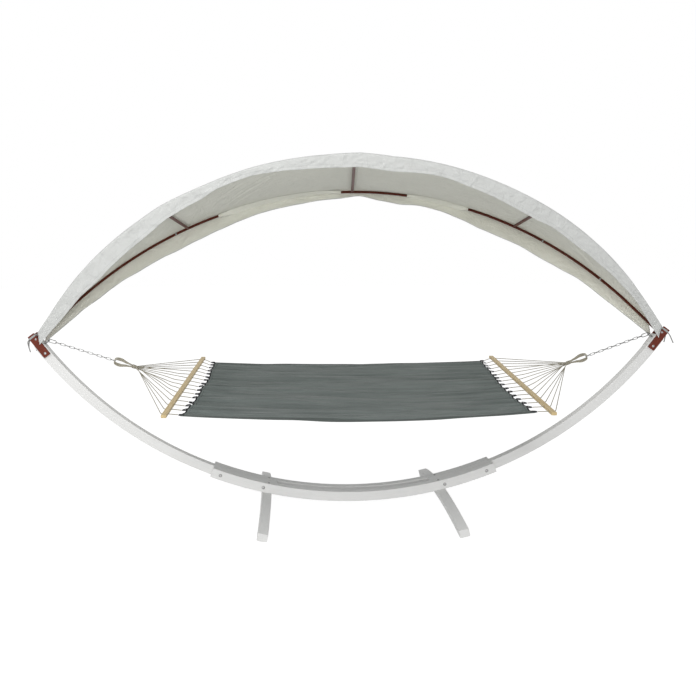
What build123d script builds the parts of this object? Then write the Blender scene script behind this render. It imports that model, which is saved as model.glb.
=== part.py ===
from build123d import *
import os
from math import acos, asin, atan, atan2, cos, degrees, hypot, pi, radians, sin, sqrt, tan

# A hammock with spreader bars, hung between the tips of a curved wooden stand, under a sun canopy.
# Millimetres. X runs along the hammock, Y from the front to the rear, Z up, the floor is z = 0.

# Stand: two curved rails clamp the inner ends of two curved arms, all on one arc
ARC_INNER_R = 2438.0
BEAM_DEPTH = 62.0
BEAM_THICK = 46.0
RAIL_END_ANGLE = 0.380
ARM_START_ANGLE = 0.206
ARM_TIP_ANGLE = 0.940
EDGE_ROUND = 3.0
ARC_OUTER_R = ARC_INNER_R + BEAM_DEPTH
ARC_MID_R = ARC_INNER_R + BEAM_DEPTH / 2
RAIL_Y = BEAM_THICK

# Legs: two arched cross beams under the rails
LEG_ANGLE = 0.2275
LEG_WIDTH = 60.0
LEG_THICK = 49.0
LEG_LENGTH = 1020.0
LEG_ARCH_R = 1850.0
LEG_END_TILT = radians(7.8)
LEG_SEAT = 2.0
LEG_SEAT_HALF = 75.0
FOOT_FLAT = 4.0
SEAT_GAP = 0.1

# Fasteners of the stand
SPLICE_ANGLES = (0.2402, 0.3560)
SPLICE_BOLT_R = 4.9
LEG_BOLT_R = 3.9
SPLICE_HEAD_R = 11.0
SPLICE_HEAD_H = 5.0
LEG_HEAD_R = 8.0
LEG_HEAD_H = 4.5
LEG_SINK_R = 10.5
LEG_SINK_DEPTH = 3.0
LEG_NUT_POCKET_R = 12.0
LEG_NUT_POCKET_DEPTH = 12.0
HOLE_GAP = 0.3
THREAD_GAP = 0.05
WASHER_THICK = 2.0
NUT_ACROSS = {3.0: 10.0, 3.9: 13.0, 4.9: 17.0}
NUT_HEIGHT = {3.0: 5.0, 3.9: 6.5, 4.9: 8.0}
WASHER_R = {3.0: 6.0, 3.9: 8.5, 4.9: 11.0}
BOLT_TAIL = 3.0

# End plates: a wooden strip on each face of both arm tips
PLATE_ANGLE = 0.9335
PLATE_R = 2466.0
PLATE_LENGTH = 165.0
PLATE_WIDTH = 46.0
PLATE_THICK = 12.0
PLATE_BOLT_ANGLE = 0.9087
PLATE_BOLT_R = 3.9
CANOPY_BOLT_ANGLE = 0.9510
CANOPY_BOLT_ARC_R = 2456.0
CANOPY_BOLT_R = 3.0
PLATE_INNER_Y = BEAM_THICK / 2
PLATE_OUTER_Y = PLATE_INNER_Y + PLATE_THICK

# Eye bolts through the arm tips
EYE_ANGLE = 0.9295
EYE_RING_R = 14.0
EYE_WIRE_R = 4.0
EYE_DROP = 18.0
EYE_SHANK_R = 3.9

# Spreader bars, turned a little as they hang, by side: the middle's distance from x = 0 and its height
BAR_PLACE = {-1: (1072.0, 832.0), 1: (1077.0, 813.5)}
BAR_LENGTH = 1228.0
BAR_WIDTH = 30.0
BAR_HEIGHT = 18.0
BAR_YAW = radians(3.44)
BAR_TILT = radians(5.62)
CORD_COUNT = 16
BAR_HOLE_PITCH = 76.0
BAR_HOLE_R = 4.5

# Snap hooks, chains and rope eyes, in line from each eye bolt towards its bar
HOOK_WIRE_R = 2.5
HOOK_END_R = 9.5
HOOK_STRAIGHT = 34.0
HOOK_PLAY = 0.5
GATE_ROD_R = 2.2
GATE_PIVOT_BACK = 4.3
GATE_PIN_R = 1.0
GATE_EAR_R = 3.2
GATE_EAR_THICK = 1.3
GATE_LUG_HALF = 1.5
LINK_COUNT = 13
LINK_WIRE_R = 2.0
LINK_END_R = 6.3
LINK_HALF = 17.0
LINK_PLAY = 0.2
ROPE_R = 4.0
ROPE_TIP_R = 13.0
ROPE_STRAND_LIFT = 4.3
ROPE_EYE_LENGTH = 112.0
NECK_R = 10.5
NECK_LENGTH = 30.0
WHIP_CORD_R = 1.25
WHIP_TURNS = 8
WHIP_PITCH = 2.95

# Harness cords: from the neck through the bar's holes to the bed's tabs
CORD_R = 2.0
NECK_COLUMNS = (8.9, 2.3)
NECK_ROWS = (6.6, 2.2, -2.2, -6.6)
NECK_TO_CORD = 2.6
CORD_TO_BAR = 9.0
CORD_PAST_BAR = 6.0
CORD_END_GAP = 1.2
CORD_ARC_SHARE = 0.45

# Bed: a sheet with lengthwise folds, gathered at sixteen tabs a side
BED_HALF_LENGTH = 1008.0
BED_TAB_PITCH = 72.6
BED_HEM = 9.0
BED_END_Z = {-1: 819.0, 1: 806.0}
BED_SAG = 31.0
BED_THICK = 4.0
BED_FOLD_END = 8.0
BED_FOLD_MID = 4.0
BED_STATIONS = (-1.0, -0.5, 0.0, 0.5, 1.0)
BED_LOFT_OVER = 1.05
TAB_HALF_WIDTH = 4.5
TAB_LENGTH = 14.0
SCALLOP_DEPTH = 14.0

# Canopy: two bent laths, three crossbars and a cover with a hanging valance on both sides
LATH_FRONT_TILT = 0.3066
LATH_REAR_TILT = 0.4946
LATH_FRONT_Y = 12.3
LATH_REAR_Y = 9.0
LATH_APEX_Z_FRONT = 2191.0
LATH_APEX_Z_REAR = 2089.0
LATH_BEND = radians(52.0)
LATH_RADIAL = 14.0
LATH_THICK = 10.0
LATH_TAIL = 9.0
LATH_ARCS = 8
CANOPY_TWIST = radians(6.25)
CROSSBAR_X = (-1136.0, 0.0, 1136.0)
CROSSBAR_WIDTH = 18.0
CROSSBAR_THICK = 10.0
SCREW_R = 1.9
SCREW_LENGTH = 38.0
SCREW_HEAD_R = 3.8
SCREW_HEAD_H = 3.0
LATH_SIDE_GAP = 0.1
COVER_TIE_X = (-1215.0, 1325.0, 1680.0)
COVER_TIE_THICK = 1.0
COVER_TIE_WIDTH = 8.0

# Cover
COVER_OUTSIDE = 15.0
COVER_THICK = 3.0
COVER_END_Z = 1171.0
COVER_TIP = (1974.0, 1094.0)
VALANCE_END_Y = 39.5
VALANCE_CLEAR = 2.0
VALANCE_FRONT = {"crown": 86.0, "haunch": 98.0, "tip": 56.0}
VALANCE_REAR = {"crown": 56.0, "haunch": 118.0, "tip": 60.0}
VALANCE_HAUNCH_AT = 0.66
VALANCE_TIP_AT = 1.2
CAVITY_RUN_OUT = 60.0
CAVITY_FLOOR_Z = 1060.0

# Tie straps round the plates' upper ends, each with two hanging tails
STRAP_PLACE = 70.0
STRAP_WIDTH = 9.0
STRAP_THICK = 1.5
STRAP_GAP = 0.4
STRAP_CORNER = 3.0
TAIL_R = 2.5
TAIL_START_Y = (-24.0, 12.0)
TAIL_FIRST_RUN = 18.0
TAIL_STEPS = (((3.0, -3.0, -34.0), (-4.0, -1.0, -30.0)), ((8.0, 4.0, -26.0), (5.0, 1.0, -22.0)))

SIDES = {"left": -1, "right": 1}

os.makedirs("parts", exist_ok=True)


def write(piece, name):
    """Labels a finished piece and writes it."""
    piece.part.label = name
    export_step(piece.part, f"parts/{name}.step")


# Places on the stand's arc, by the angle from straight down
leg_end_x = LEG_LENGTH / 2 - LEG_THICK * sin(LEG_END_TILT)
leg_drop = LEG_ARCH_R - LEG_SEAT - sqrt((LEG_ARCH_R - LEG_THICK) ** 2 - leg_end_x**2)
ARC_CENTRE_Z = cos(LEG_ANGLE) * (ARC_OUTER_R + leg_drop) + sin(LEG_ANGLE) * LEG_WIDTH / 2 - FOOT_FLAT


def on_arc(radius, angle, y=0.0, side=1):
    """A point at a radius and angle of the stand's arc."""
    return Vector(side * radius * sin(angle), y, ARC_CENTRE_Z - radius * cos(angle))


def outward(angle, side=1):
    """The direction away from the arc's centre."""
    return Vector(side * sin(angle), 0, -cos(angle))


def along(angle, side=1):
    """The direction along the arc, up and outwards."""
    return Vector(side * cos(angle), 0, sin(angle))


def upright(y, z=0.0, x=0.0):
    """A plane whose sketches are drawn in X and Z, seen from the front, at depth y."""
    return Plane(origin=(x, y, z), x_dir=(1, 0, 0), z_dir=(0, -1, 0))


def arc_beam(start, end, y_mid):
    """A beam of the stand between two angles, with rounded edges."""
    with BuildPart() as beam:
        with BuildSketch(upright(y_mid)):
            with BuildLine():
                inner = CenterArc((0, ARC_CENTRE_Z), ARC_INNER_R, degrees(start) - 90, degrees(end - start))
                outer = CenterArc((0, ARC_CENTRE_Z), ARC_OUTER_R, degrees(start) - 90, degrees(end - start))
                Line(inner @ 0, outer @ 0)
                Line(inner @ 1, outer @ 1)
            make_face()
        extrude(amount=BEAM_THICK / 2, both=True)
        fillet(beam.edges(), EDGE_ROUND)
    return beam.part


def bore(point, direction, radius, length):
    """Cuts a round hole centred on a point of the part being built."""
    with Locations(Plane(origin=point, z_dir=direction)):
        Cylinder(radius, length, mode=Mode.SUBTRACT)


def leg_frame(side):
    """The leg's section plane: local X is Y, local Y points up the arc's radius, its origin on the rails."""
    point = on_arc(ARC_OUTER_R, LEG_ANGLE, 0, side)
    return Plane(origin=point, x_dir=(0, 1, 0), z_dir=along(LEG_ANGLE, side) * side)


def splice_places():
    """Where the splice bolts cross the stand, on both sides."""
    return [(angle, side) for side in SIDES.values() for angle in SPLICE_ANGLES]


def bolt(point, direction, radius, grip, head_r, head_h):
    """One domed bolt: its head sits on the point, its shank runs against the direction."""
    frame = Plane(origin=point, z_dir=direction)
    with BuildPart() as one:
        dome_r = (head_r**2 + head_h**2) / (2 * head_h)
        half_way = asin(head_r / dome_r) / 2
        with BuildSketch(Plane(origin=frame.origin, x_dir=frame.x_dir, z_dir=-frame.y_dir)):
            with BuildLine():
                Line((0, 0), (head_r, 0))
                on_dome = (dome_r * sin(half_way), head_h - dome_r * (1 - cos(half_way)))
                ThreePointArc((head_r, 0), on_dome, (0, head_h))
                Line((0, head_h), (0, 0))
            make_face()
        revolve(axis=Axis(point, direction))
        with BuildSketch(frame):
            Circle(radius)
        extrude(amount=-grip)
    return one.part


def nut(point, direction, radius):
    """One hexagon nut standing on the point."""
    with BuildPart() as one:
        with BuildSketch(Plane(origin=point, z_dir=direction)):
            RegularPolygon(NUT_ACROSS[radius] / 2, 6, major_radius=False)
            Circle(radius + THREAD_GAP, mode=Mode.SUBTRACT)
        extrude(amount=NUT_HEIGHT[radius])
    return one.part


def washer(point, direction, radius):
    """One washer lying on the point."""
    with BuildPart() as one:
        with BuildSketch(Plane(origin=point, z_dir=direction)):
            Circle(WASHER_R[radius])
            Circle(radius + HOLE_GAP, mode=Mode.SUBTRACT)
        extrude(amount=WASHER_THICK)
    return one.part


FRONT = Vector(0, -1, 0)
REAR = Vector(0, 1, 0)
STACK_HALF = RAIL_Y + BEAM_THICK / 2


def bolt_grip(thickness, radius):
    """A bolt's length under its head, through the work, a washer and a nut."""
    return thickness + WASHER_THICK + NUT_HEIGHT[radius] + BOLT_TAIL


def leg_bolt_places():
    """Where the leg bolts cross the rails, by side and depth."""
    return [(side, y) for side in SIDES.values() for y in (-RAIL_Y, RAIL_Y)]


# Rails
for name, y_mid in (("rail_front", -RAIL_Y), ("rail_rear", RAIL_Y)):
    with BuildPart() as rail:
        add(arc_beam(-RAIL_END_ANGLE, RAIL_END_ANGLE, y_mid))
        for angle, side in splice_places():
            bore(on_arc(ARC_MID_R, angle, y_mid, side), REAR, SPLICE_BOLT_R + HOLE_GAP, 2 * BEAM_THICK)
        for side in SIDES.values():
            radial = outward(LEG_ANGLE, side)
            bore(on_arc(ARC_MID_R, LEG_ANGLE, y_mid, side), radial, LEG_BOLT_R + HOLE_GAP, 2 * BEAM_DEPTH)
            bore(on_arc(ARC_INNER_R, LEG_ANGLE, y_mid, side), radial, LEG_SINK_R, 2 * LEG_SINK_DEPTH)
    write(rail, name)

# Arms
for word, side in SIDES.items():
    with BuildPart() as arm:
        start, end = sorted((side * ARM_START_ANGLE, side * ARM_TIP_ANGLE))
        add(arc_beam(start, end, 0))
        for angle in SPLICE_ANGLES:
            bore(on_arc(ARC_MID_R, angle, 0, side), REAR, SPLICE_BOLT_R + HOLE_GAP, 2 * BEAM_THICK)
        bore(on_arc(PLATE_R, PLATE_BOLT_ANGLE, 0, side), REAR, PLATE_BOLT_R + HOLE_GAP, 2 * BEAM_THICK)
        bore(on_arc(ARC_MID_R, EYE_ANGLE, 0, side), outward(EYE_ANGLE, side), EYE_SHANK_R + HOLE_GAP, 2 * BEAM_DEPTH)
    write(arm, f"arm_{word}")

# Legs, with a flat seat under the rails and their lowest corners cut level with the floor
for word, side in SIDES.items():
    with BuildPart() as leg:
        with BuildSketch(leg_frame(side)):
            top_end = LEG_SEAT - LEG_ARCH_R + sqrt(LEG_ARCH_R**2 - (LEG_LENGTH / 2) ** 2)
            with BuildLine():
                top = ThreePointArc((-LEG_LENGTH / 2, top_end), (0, LEG_SEAT), (LEG_LENGTH / 2, top_end))
                under = ThreePointArc((-leg_end_x, -leg_drop), (0, LEG_SEAT - LEG_THICK), (leg_end_x, -leg_drop))
                Line(top @ 0, under @ 0)
                Line(top @ 1, under @ 1)
            make_face()
        extrude(amount=LEG_WIDTH / 2, both=True)
        fillet(leg.edges(), EDGE_ROUND)
        with BuildSketch(leg_frame(side)):
            with Locations((0, LEG_SEAT)):
                Rectangle(2 * LEG_SEAT_HALF, 2 * (LEG_SEAT + SEAT_GAP))
        extrude(amount=LEG_WIDTH, both=True, mode=Mode.SUBTRACT)
        radial = outward(LEG_ANGLE, side)
        for y in (-RAIL_Y, RAIL_Y):
            bore(on_arc(ARC_OUTER_R, LEG_ANGLE, y, side), radial, LEG_BOLT_R + HOLE_GAP, 4 * LEG_THICK)
            pocket_depth = LEG_THICK - LEG_SEAT - LEG_NUT_POCKET_DEPTH
            pocket = on_arc(ARC_OUTER_R + pocket_depth, LEG_ANGLE, y, side)
            with BuildSketch(Plane(origin=pocket, z_dir=radial)):
                Circle(LEG_NUT_POCKET_R)
            extrude(amount=2 * LEG_NUT_POCKET_DEPTH, mode=Mode.SUBTRACT)
        with BuildSketch(Plane.XY):
            Rectangle(4 * LEG_LENGTH, 4 * LEG_LENGTH)
        extrude(amount=-LEG_LENGTH, mode=Mode.SUBTRACT)
    write(leg, f"leg_{word}")

# Splice bolts, heads to the front
with BuildPart() as splice_bolts:
    for angle, side in splice_places():
        add(bolt(on_arc(ARC_MID_R, angle, -STACK_HALF, side), FRONT, SPLICE_BOLT_R,
                 bolt_grip(2 * STACK_HALF, SPLICE_BOLT_R), SPLICE_HEAD_R, SPLICE_HEAD_H))
write(splice_bolts, "splice_bolts")
with BuildPart() as splice_washers:
    for angle, side in splice_places():
        add(washer(on_arc(ARC_MID_R, angle, STACK_HALF, side), REAR, SPLICE_BOLT_R))
write(splice_washers, "splice_washers")
with BuildPart() as splice_nuts:
    for angle, side in splice_places():
        add(nut(on_arc(ARC_MID_R, angle, STACK_HALF + WASHER_THICK, side), REAR, SPLICE_BOLT_R))
write(splice_nuts, "splice_nuts")

# Leg bolts, heads sunk in the rails' tops and nuts in pockets under the legs
LEG_BOLT_TOP_R = ARC_INNER_R + LEG_SINK_DEPTH
LEG_NUT_R = ARC_OUTER_R + LEG_THICK - LEG_SEAT - LEG_NUT_POCKET_DEPTH
with BuildPart() as leg_bolts:
    for side, y in leg_bolt_places():
        grip = LEG_NUT_R - LEG_BOLT_TOP_R + WASHER_THICK + NUT_HEIGHT[LEG_BOLT_R] + BOLT_TAIL / 2
        add(bolt(on_arc(LEG_BOLT_TOP_R, LEG_ANGLE, y, side), -outward(LEG_ANGLE, side), LEG_BOLT_R,
                 grip, LEG_HEAD_R, LEG_HEAD_H))
write(leg_bolts, "leg_bolts")
with BuildPart() as leg_washers:
    for side, y in leg_bolt_places():
        add(washer(on_arc(LEG_NUT_R, LEG_ANGLE, y, side), outward(LEG_ANGLE, side), LEG_BOLT_R))
write(leg_washers, "leg_washers")
with BuildPart() as leg_nuts:
    for side, y in leg_bolt_places():
        add(nut(on_arc(LEG_NUT_R + WASHER_THICK, LEG_ANGLE, y, side), outward(LEG_ANGLE, side), LEG_BOLT_R))
write(leg_nuts, "leg_nuts")

# End plates
for word, side in SIDES.items():
    for depth, facing in (("front", FRONT), ("rear", REAR)):
        with BuildPart() as plate:
            origin = on_arc(PLATE_R, PLATE_ANGLE, 0, side) + facing * PLATE_INNER_Y
            with BuildSketch(Plane(origin=origin, x_dir=along(PLATE_ANGLE, side), z_dir=facing)):
                RectangleRounded(PLATE_LENGTH, PLATE_WIDTH, EDGE_ROUND)
            extrude(amount=PLATE_THICK)
            outer_face = plate.faces().filter_by(Axis.Y).sort_by(Axis.Y)[0 if facing.Y < 0 else -1]
            chamfer(outer_face.edges(), 1.0)
            bore(on_arc(PLATE_R, PLATE_BOLT_ANGLE, 0, side), REAR, PLATE_BOLT_R + HOLE_GAP, 3 * BEAM_THICK)
            canopy_bolt_at = on_arc(CANOPY_BOLT_ARC_R, CANOPY_BOLT_ANGLE, 0, side)
            bore(canopy_bolt_at, REAR, CANOPY_BOLT_R + HOLE_GAP, 3 * BEAM_THICK)
        write(plate, f"end_plate_{depth}_{word}")


def end_fasteners(kind, arc_r, angle, radius, head_r, head_h):
    """The bolts, washers and nuts of one kind through both pairs of end plates."""
    places = [on_arc(arc_r, angle, 0, side) for side in SIDES.values()]
    with BuildPart() as bolts:
        for place in places:
            add(bolt(place + FRONT * PLATE_OUTER_Y, FRONT, radius, bolt_grip(2 * PLATE_OUTER_Y, radius),
                     head_r, head_h))
    write(bolts, f"{kind}_bolts")
    with BuildPart() as washers:
        for place in places:
            add(washer(place + REAR * PLATE_OUTER_Y, REAR, radius))
    write(washers, f"{kind}_washers")
    with BuildPart() as nuts:
        for place in places:
            add(nut(place + REAR * (PLATE_OUTER_Y + WASHER_THICK), REAR, radius))
    write(nuts, f"{kind}_nuts")


end_fasteners("plate", PLATE_R, PLATE_BOLT_ANGLE, PLATE_BOLT_R, 8.5, 4.0)
end_fasteners("canopy", CANOPY_BOLT_ARC_R, CANOPY_BOLT_ANGLE, CANOPY_BOLT_R, 7.0, 3.2)

# Eye bolts: a ring whose plane holds the shank and Y
eye_centre_r = ARC_INNER_R - EYE_DROP
for word, side in SIDES.items():
    radial = outward(EYE_ANGLE, side)
    with BuildPart() as eye_bolt:
        ring_centre = on_arc(eye_centre_r, EYE_ANGLE, 0, side)
        with BuildSketch(Plane(origin=ring_centre + radial * EYE_RING_R, x_dir=radial, z_dir=(0, 1, 0))):
            Circle(EYE_WIRE_R)
        revolve(axis=Axis(ring_centre, along(EYE_ANGLE, side)))
        with BuildSketch(Plane(origin=on_arc(eye_centre_r + EYE_RING_R, EYE_ANGLE, 0, side), z_dir=radial)):
            Circle(EYE_SHANK_R)
        shank_end = ARC_OUTER_R + WASHER_THICK + NUT_HEIGHT[EYE_SHANK_R] + BOLT_TAIL
        extrude(amount=shank_end - eye_centre_r - EYE_RING_R)
    write(eye_bolt, f"eye_bolt_{word}")
with BuildPart() as eye_washers:
    for side in SIDES.values():
        add(washer(on_arc(ARC_OUTER_R + SEAT_GAP, EYE_ANGLE, 0, side), outward(EYE_ANGLE, side), EYE_SHANK_R))
write(eye_washers, "eye_bolt_washers")
with BuildPart() as eye_nuts:
    for side in SIDES.values():
        place = on_arc(ARC_OUTER_R + SEAT_GAP + WASHER_THICK, EYE_ANGLE, 0, side)
        add(nut(place, outward(EYE_ANGLE, side), EYE_SHANK_R))
write(eye_nuts, "eye_bolt_nuts")

# The pull line from each eye bolt's rim towards its bar, with the piece positions counted from the rim
rim = on_arc(eye_centre_r - EYE_RING_R, EYE_ANGLE)


def bar_middle(side):
    """The middle of a side's spreader bar."""
    return Vector(side * BAR_PLACE[side][0], 0, BAR_PLACE[side][1])


def pull_direction(side):
    """The direction of a side's pull line, from its eye bolt inwards."""
    return (bar_middle(side) - Vector(side * rim.X, 0, rim.Z)).normalized()


def lift_direction(side):
    """The direction square to a side's pull line, upwards."""
    pull = pull_direction(side)
    return Vector(side * pull.Z, 0, -side * pull.X)


hook_eye_s = HOOK_END_R - EYE_WIRE_R - HOOK_WIRE_R - HOOK_PLAY
hook_chain_s = hook_eye_s + HOOK_STRAIGHT
hook_tip_s = hook_chain_s + HOOK_END_R
LINK_PITCH = 2 * (LINK_HALF - LINK_WIRE_R) - LINK_PLAY
first_link_s = hook_tip_s - HOOK_WIRE_R - LINK_WIRE_R - LINK_PLAY + LINK_HALF
last_link_s = first_link_s + (LINK_COUNT - 1) * LINK_PITCH
rope_tip_s = last_link_s + LINK_HALF - LINK_WIRE_R - ROPE_R - LINK_PLAY
neck_s = rope_tip_s + ROPE_EYE_LENGTH
neck_end_s = neck_s + NECK_LENGTH


def mirrored(vector, side):
    """A point or direction of the right-hand end, or its mirror image."""
    return Vector(side * vector.X, vector.Y, vector.Z)


def on_pull(s, lift=0.0, y=0.0, side=1):
    """A point at a distance along the pull line, lifted square to it."""
    return mirrored(rim, side) + pull_direction(side) * s + lift_direction(side) * lift + Vector(0, y, 0)


def pull_plane(s, side, lift=0.0):
    """The plane square to the pull line, with Y as its local Y."""
    return Plane(origin=on_pull(s, lift, 0, side), x_dir=lift_direction(side), z_dir=pull_direction(side))


def sweep_round(path, radius):
    """Sweeps a circle along a path that is already drawn, inside the part being built."""
    with BuildSketch(Plane(origin=path @ 0, z_dir=path % 0)) as section:
        Circle(radius)
    sweep(section.sketch, path=path)


# Snap hooks, gates and their pins
gate_pivot_s = hook_chain_s - GATE_PIVOT_BACK
nose_s = hook_eye_s + 3.0
for word, side in SIDES.items():
    pivot = on_pull(gate_pivot_s, HOOK_END_R, 0, side)
    with BuildPart() as hook:
        with BuildLine() as hook_line:
            nose = Line(on_pull(nose_s, HOOK_END_R, 0, side), on_pull(hook_eye_s, HOOK_END_R, 0, side))
            eye_end = ThreePointArc(nose @ 1, on_pull(hook_eye_s - HOOK_END_R, 0, 0, side),
                                    on_pull(hook_eye_s, -HOOK_END_R, 0, side))
            back = Line(eye_end @ 1, on_pull(hook_chain_s, -HOOK_END_R, 0, side))
            chain_end = ThreePointArc(back @ 1, on_pull(hook_tip_s, 0, 0, side),
                                      on_pull(hook_chain_s, HOOK_END_R, 0, side))
            Line(chain_end @ 1, on_pull(gate_pivot_s + 1.0, HOOK_END_R, 0, side))
        sweep_round(hook_line.wire(), HOOK_WIRE_R)
        for facing in (FRONT, REAR):
            with BuildSketch(Plane(origin=pivot + facing * GATE_LUG_HALF, z_dir=facing)):
                Circle(GATE_EAR_R + 1.5)
            extrude(amount=HOOK_END_R, mode=Mode.SUBTRACT)
        with BuildSketch(Plane(origin=pivot, z_dir=REAR)):
            Circle(GATE_EAR_R)
        extrude(amount=GATE_LUG_HALF, both=True)
        bore(pivot, REAR, GATE_PIN_R + THREAD_GAP, HOOK_END_R)
    write(hook, f"snap_hook_{word}")

    with BuildPart() as gate:
        rod_end_s = gate_pivot_s - GATE_EAR_R - 1.0
        with BuildSketch(pull_plane(nose_s + HOOK_PLAY, side, HOOK_END_R)):
            Circle(GATE_ROD_R)
        extrude(amount=rod_end_s - nose_s - HOOK_PLAY)
        for facing in (FRONT, REAR):
            ear_y = GATE_LUG_HALF + HOLE_GAP
            ear_plane = Plane(origin=pivot + facing * ear_y, x_dir=pull_direction(side), z_dir=facing)
            with BuildSketch(ear_plane):
                Circle(GATE_EAR_R)
                with Locations((-GATE_EAR_R - 1.0, 0)):
                    Rectangle(2 * GATE_EAR_R + 2.0, 2 * GATE_ROD_R)
            extrude(amount=GATE_EAR_THICK)
        bore(pivot, REAR, GATE_PIN_R + THREAD_GAP, HOOK_END_R)
    write(gate, f"snap_gate_{word}")

with BuildPart() as gate_pins:
    for side in SIDES.values():
        pivot = on_pull(gate_pivot_s, HOOK_END_R, 0, side)
        pin_half = GATE_LUG_HALF + GATE_EAR_THICK + 2 * HOLE_GAP
        with BuildSketch(Plane(origin=pivot, z_dir=REAR)):
            Circle(GATE_PIN_R)
        extrude(amount=pin_half, both=True)
        for facing in (FRONT, REAR):
            with BuildSketch(Plane(origin=pivot + facing * pin_half, z_dir=facing)):
                Circle(1.8 * GATE_PIN_R)
            extrude(amount=0.7)
write(gate_pins, "snap_gate_pins")

# Chains: closed links, each turned a quarter from the last
for word, side in SIDES.items():
    with BuildPart() as chain:
        for index in range(LINK_COUNT):
            centre = on_pull(first_link_s + index * LINK_PITCH, 0, 0, side)
            pull = pull_direction(side)
            across = REAR if index % 2 == 0 else lift_direction(side)
            half = LINK_HALF - LINK_END_R
            with BuildLine() as link_line:
                lower = Line(centre - pull * half - across * LINK_END_R, centre + pull * half - across * LINK_END_R)
                far_end = ThreePointArc(lower @ 1, centre + pull * LINK_HALF,
                                        centre + pull * half + across * LINK_END_R)
                upper = Line(far_end @ 1, centre - pull * half + across * LINK_END_R)
                ThreePointArc(upper @ 1, centre - pull * LINK_HALF, lower @ 0)
            sweep_round(link_line.wire(), LINK_WIRE_R)
    write(chain, f"chain_{word}")

# Rope eyes: a teardrop loop whose strands run into a round neck
tip_centre_s = rope_tip_s + ROPE_TIP_R
strand_run = neck_s + 2.0 - tip_centre_s
touch_angle = atan2(ROPE_STRAND_LIFT, strand_run) + acos(ROPE_TIP_R / hypot(strand_run, ROPE_STRAND_LIFT))
touch_s = tip_centre_s + ROPE_TIP_R * cos(touch_angle)
touch_lift = ROPE_TIP_R * sin(touch_angle)
for word, side in SIDES.items():
    with BuildPart() as rope_eye:
        with BuildLine() as eye_line:
            upper = Line(on_pull(neck_s + 2.0, ROPE_STRAND_LIFT, 0, side), on_pull(touch_s, touch_lift, 0, side))
            tip = ThreePointArc(upper @ 1, on_pull(rope_tip_s, 0, 0, side), on_pull(touch_s, -touch_lift, 0, side))
            Line(tip @ 1, on_pull(neck_s + 2.0, -ROPE_STRAND_LIFT, 0, side))
        sweep_round(eye_line.wire(), ROPE_R)
        with BuildSketch(pull_plane(neck_s, side)):
            Circle(NECK_R)
        extrude(amount=NECK_LENGTH)
    write(rope_eye, f"rope_eye_{word}")

# Whippings: one cord wound round each neck
whip_r = NECK_R + WHIP_CORD_R + HOLE_GAP
whip_start_s = neck_s + (NECK_LENGTH - WHIP_TURNS * WHIP_PITCH) / 2


def whip_point(turn, side):
    """A point of the whipping's centre line, by the number of turns."""
    angle = 2 * pi * turn
    return on_pull(whip_start_s + WHIP_PITCH * turn, whip_r * cos(angle), whip_r * sin(angle), side)


for word, side in SIDES.items():
    with BuildPart() as whipping:
        with BuildLine() as whip_line:
            for quarter in range(4 * WHIP_TURNS):
                ThreePointArc(*[whip_point((quarter + part) / 4, side) for part in (0, 0.5, 1)])
        sweep_round(whip_line.wire(), WHIP_CORD_R)
    whip_length = whip_line.wire().length
    print(f"whipping {word}: gap between turns {WHIP_PITCH - 2 * WHIP_CORD_R:.2f}, "
          f"volume over section x length {whipping.part.volume / (pi * WHIP_CORD_R**2 * whip_length):.4f}")
    write(whipping, f"whipping_{word}")

# Spreader bars, bored for the cords
BAR_ALONG = Vector(sin(BAR_YAW) * cos(BAR_TILT), cos(BAR_YAW) * cos(BAR_TILT), sin(BAR_TILT))
BAR_ACROSS = Vector(cos(BAR_YAW), -sin(BAR_YAW), 0)
BAR_UP = BAR_ACROSS.cross(BAR_ALONG)


def cord_place(index, pitch):
    """A cord's distance from the middle of its row."""
    return (index - (CORD_COUNT - 1) / 2) * pitch


for word, side in SIDES.items():
    with BuildPart() as bar:
        with BuildSketch(Plane(origin=bar_middle(side), x_dir=BAR_ACROSS, z_dir=BAR_UP)):
            Rectangle(BAR_WIDTH, BAR_LENGTH)
        extrude(amount=BAR_HEIGHT / 2, both=True)
        fillet(bar.edges(), EDGE_ROUND)
        for index in range(CORD_COUNT):
            hole = bar_middle(side) + BAR_ALONG * cord_place(index, BAR_HOLE_PITCH)
            bore(hole, (1, 0, 0), BAR_HOLE_R, 2 * BAR_WIDTH)
    write(bar, f"spreader_bar_{word}")


def bed_point(index, inset, side):
    """A point on the bed's end at one cord's place, moved inwards by the inset."""
    place = cord_place(index, BED_TAB_PITCH)
    return Vector(side * (BED_HALF_LENGTH - inset), 0, BED_END_Z[side]) + BAR_ALONG * place


def cord_start(index, side):
    """A cord's start on the neck's end: four columns of four, the outermost places first."""
    from_edge = min(index, CORD_COUNT - 1 - index)
    column, row = divmod(from_edge, len(NECK_ROWS))
    y = NECK_COLUMNS[column] * (-1 if index < CORD_COUNT / 2 else 1)
    return on_pull(neck_end_s + NECK_TO_CORD, NECK_ROWS[row], y, side)


def cord_route(index, side):
    """A harness cord's route: neck, before the bar, past the bar, bed tab."""
    hole = bar_middle(side) + BAR_ALONG * cord_place(index, BAR_HOLE_PITCH)
    before = hole + Vector(side * (BAR_WIDTH / 2 + CORD_TO_BAR), 0, 0)
    past = hole - Vector(side * (BAR_WIDTH / 2 + CORD_PAST_BAR), 0, 0)
    end = bed_point(index, -CORD_END_GAP, side) - BAR_UP * (BED_THICK / 2)
    return [cord_start(index, side), before, past, end]


def route_radii(points):
    """The radius at each corner: as large as the shorter of its two runs allows."""
    radii = []
    for one, two, three in zip(points, points[1:], points[2:]):
        half_turn = radians((two - one).get_angle(three - two) / 2)
        radii.append(CORD_ARC_SHARE * min((two - one).length, (three - two).length) / tan(half_turn))
    return radii


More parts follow.
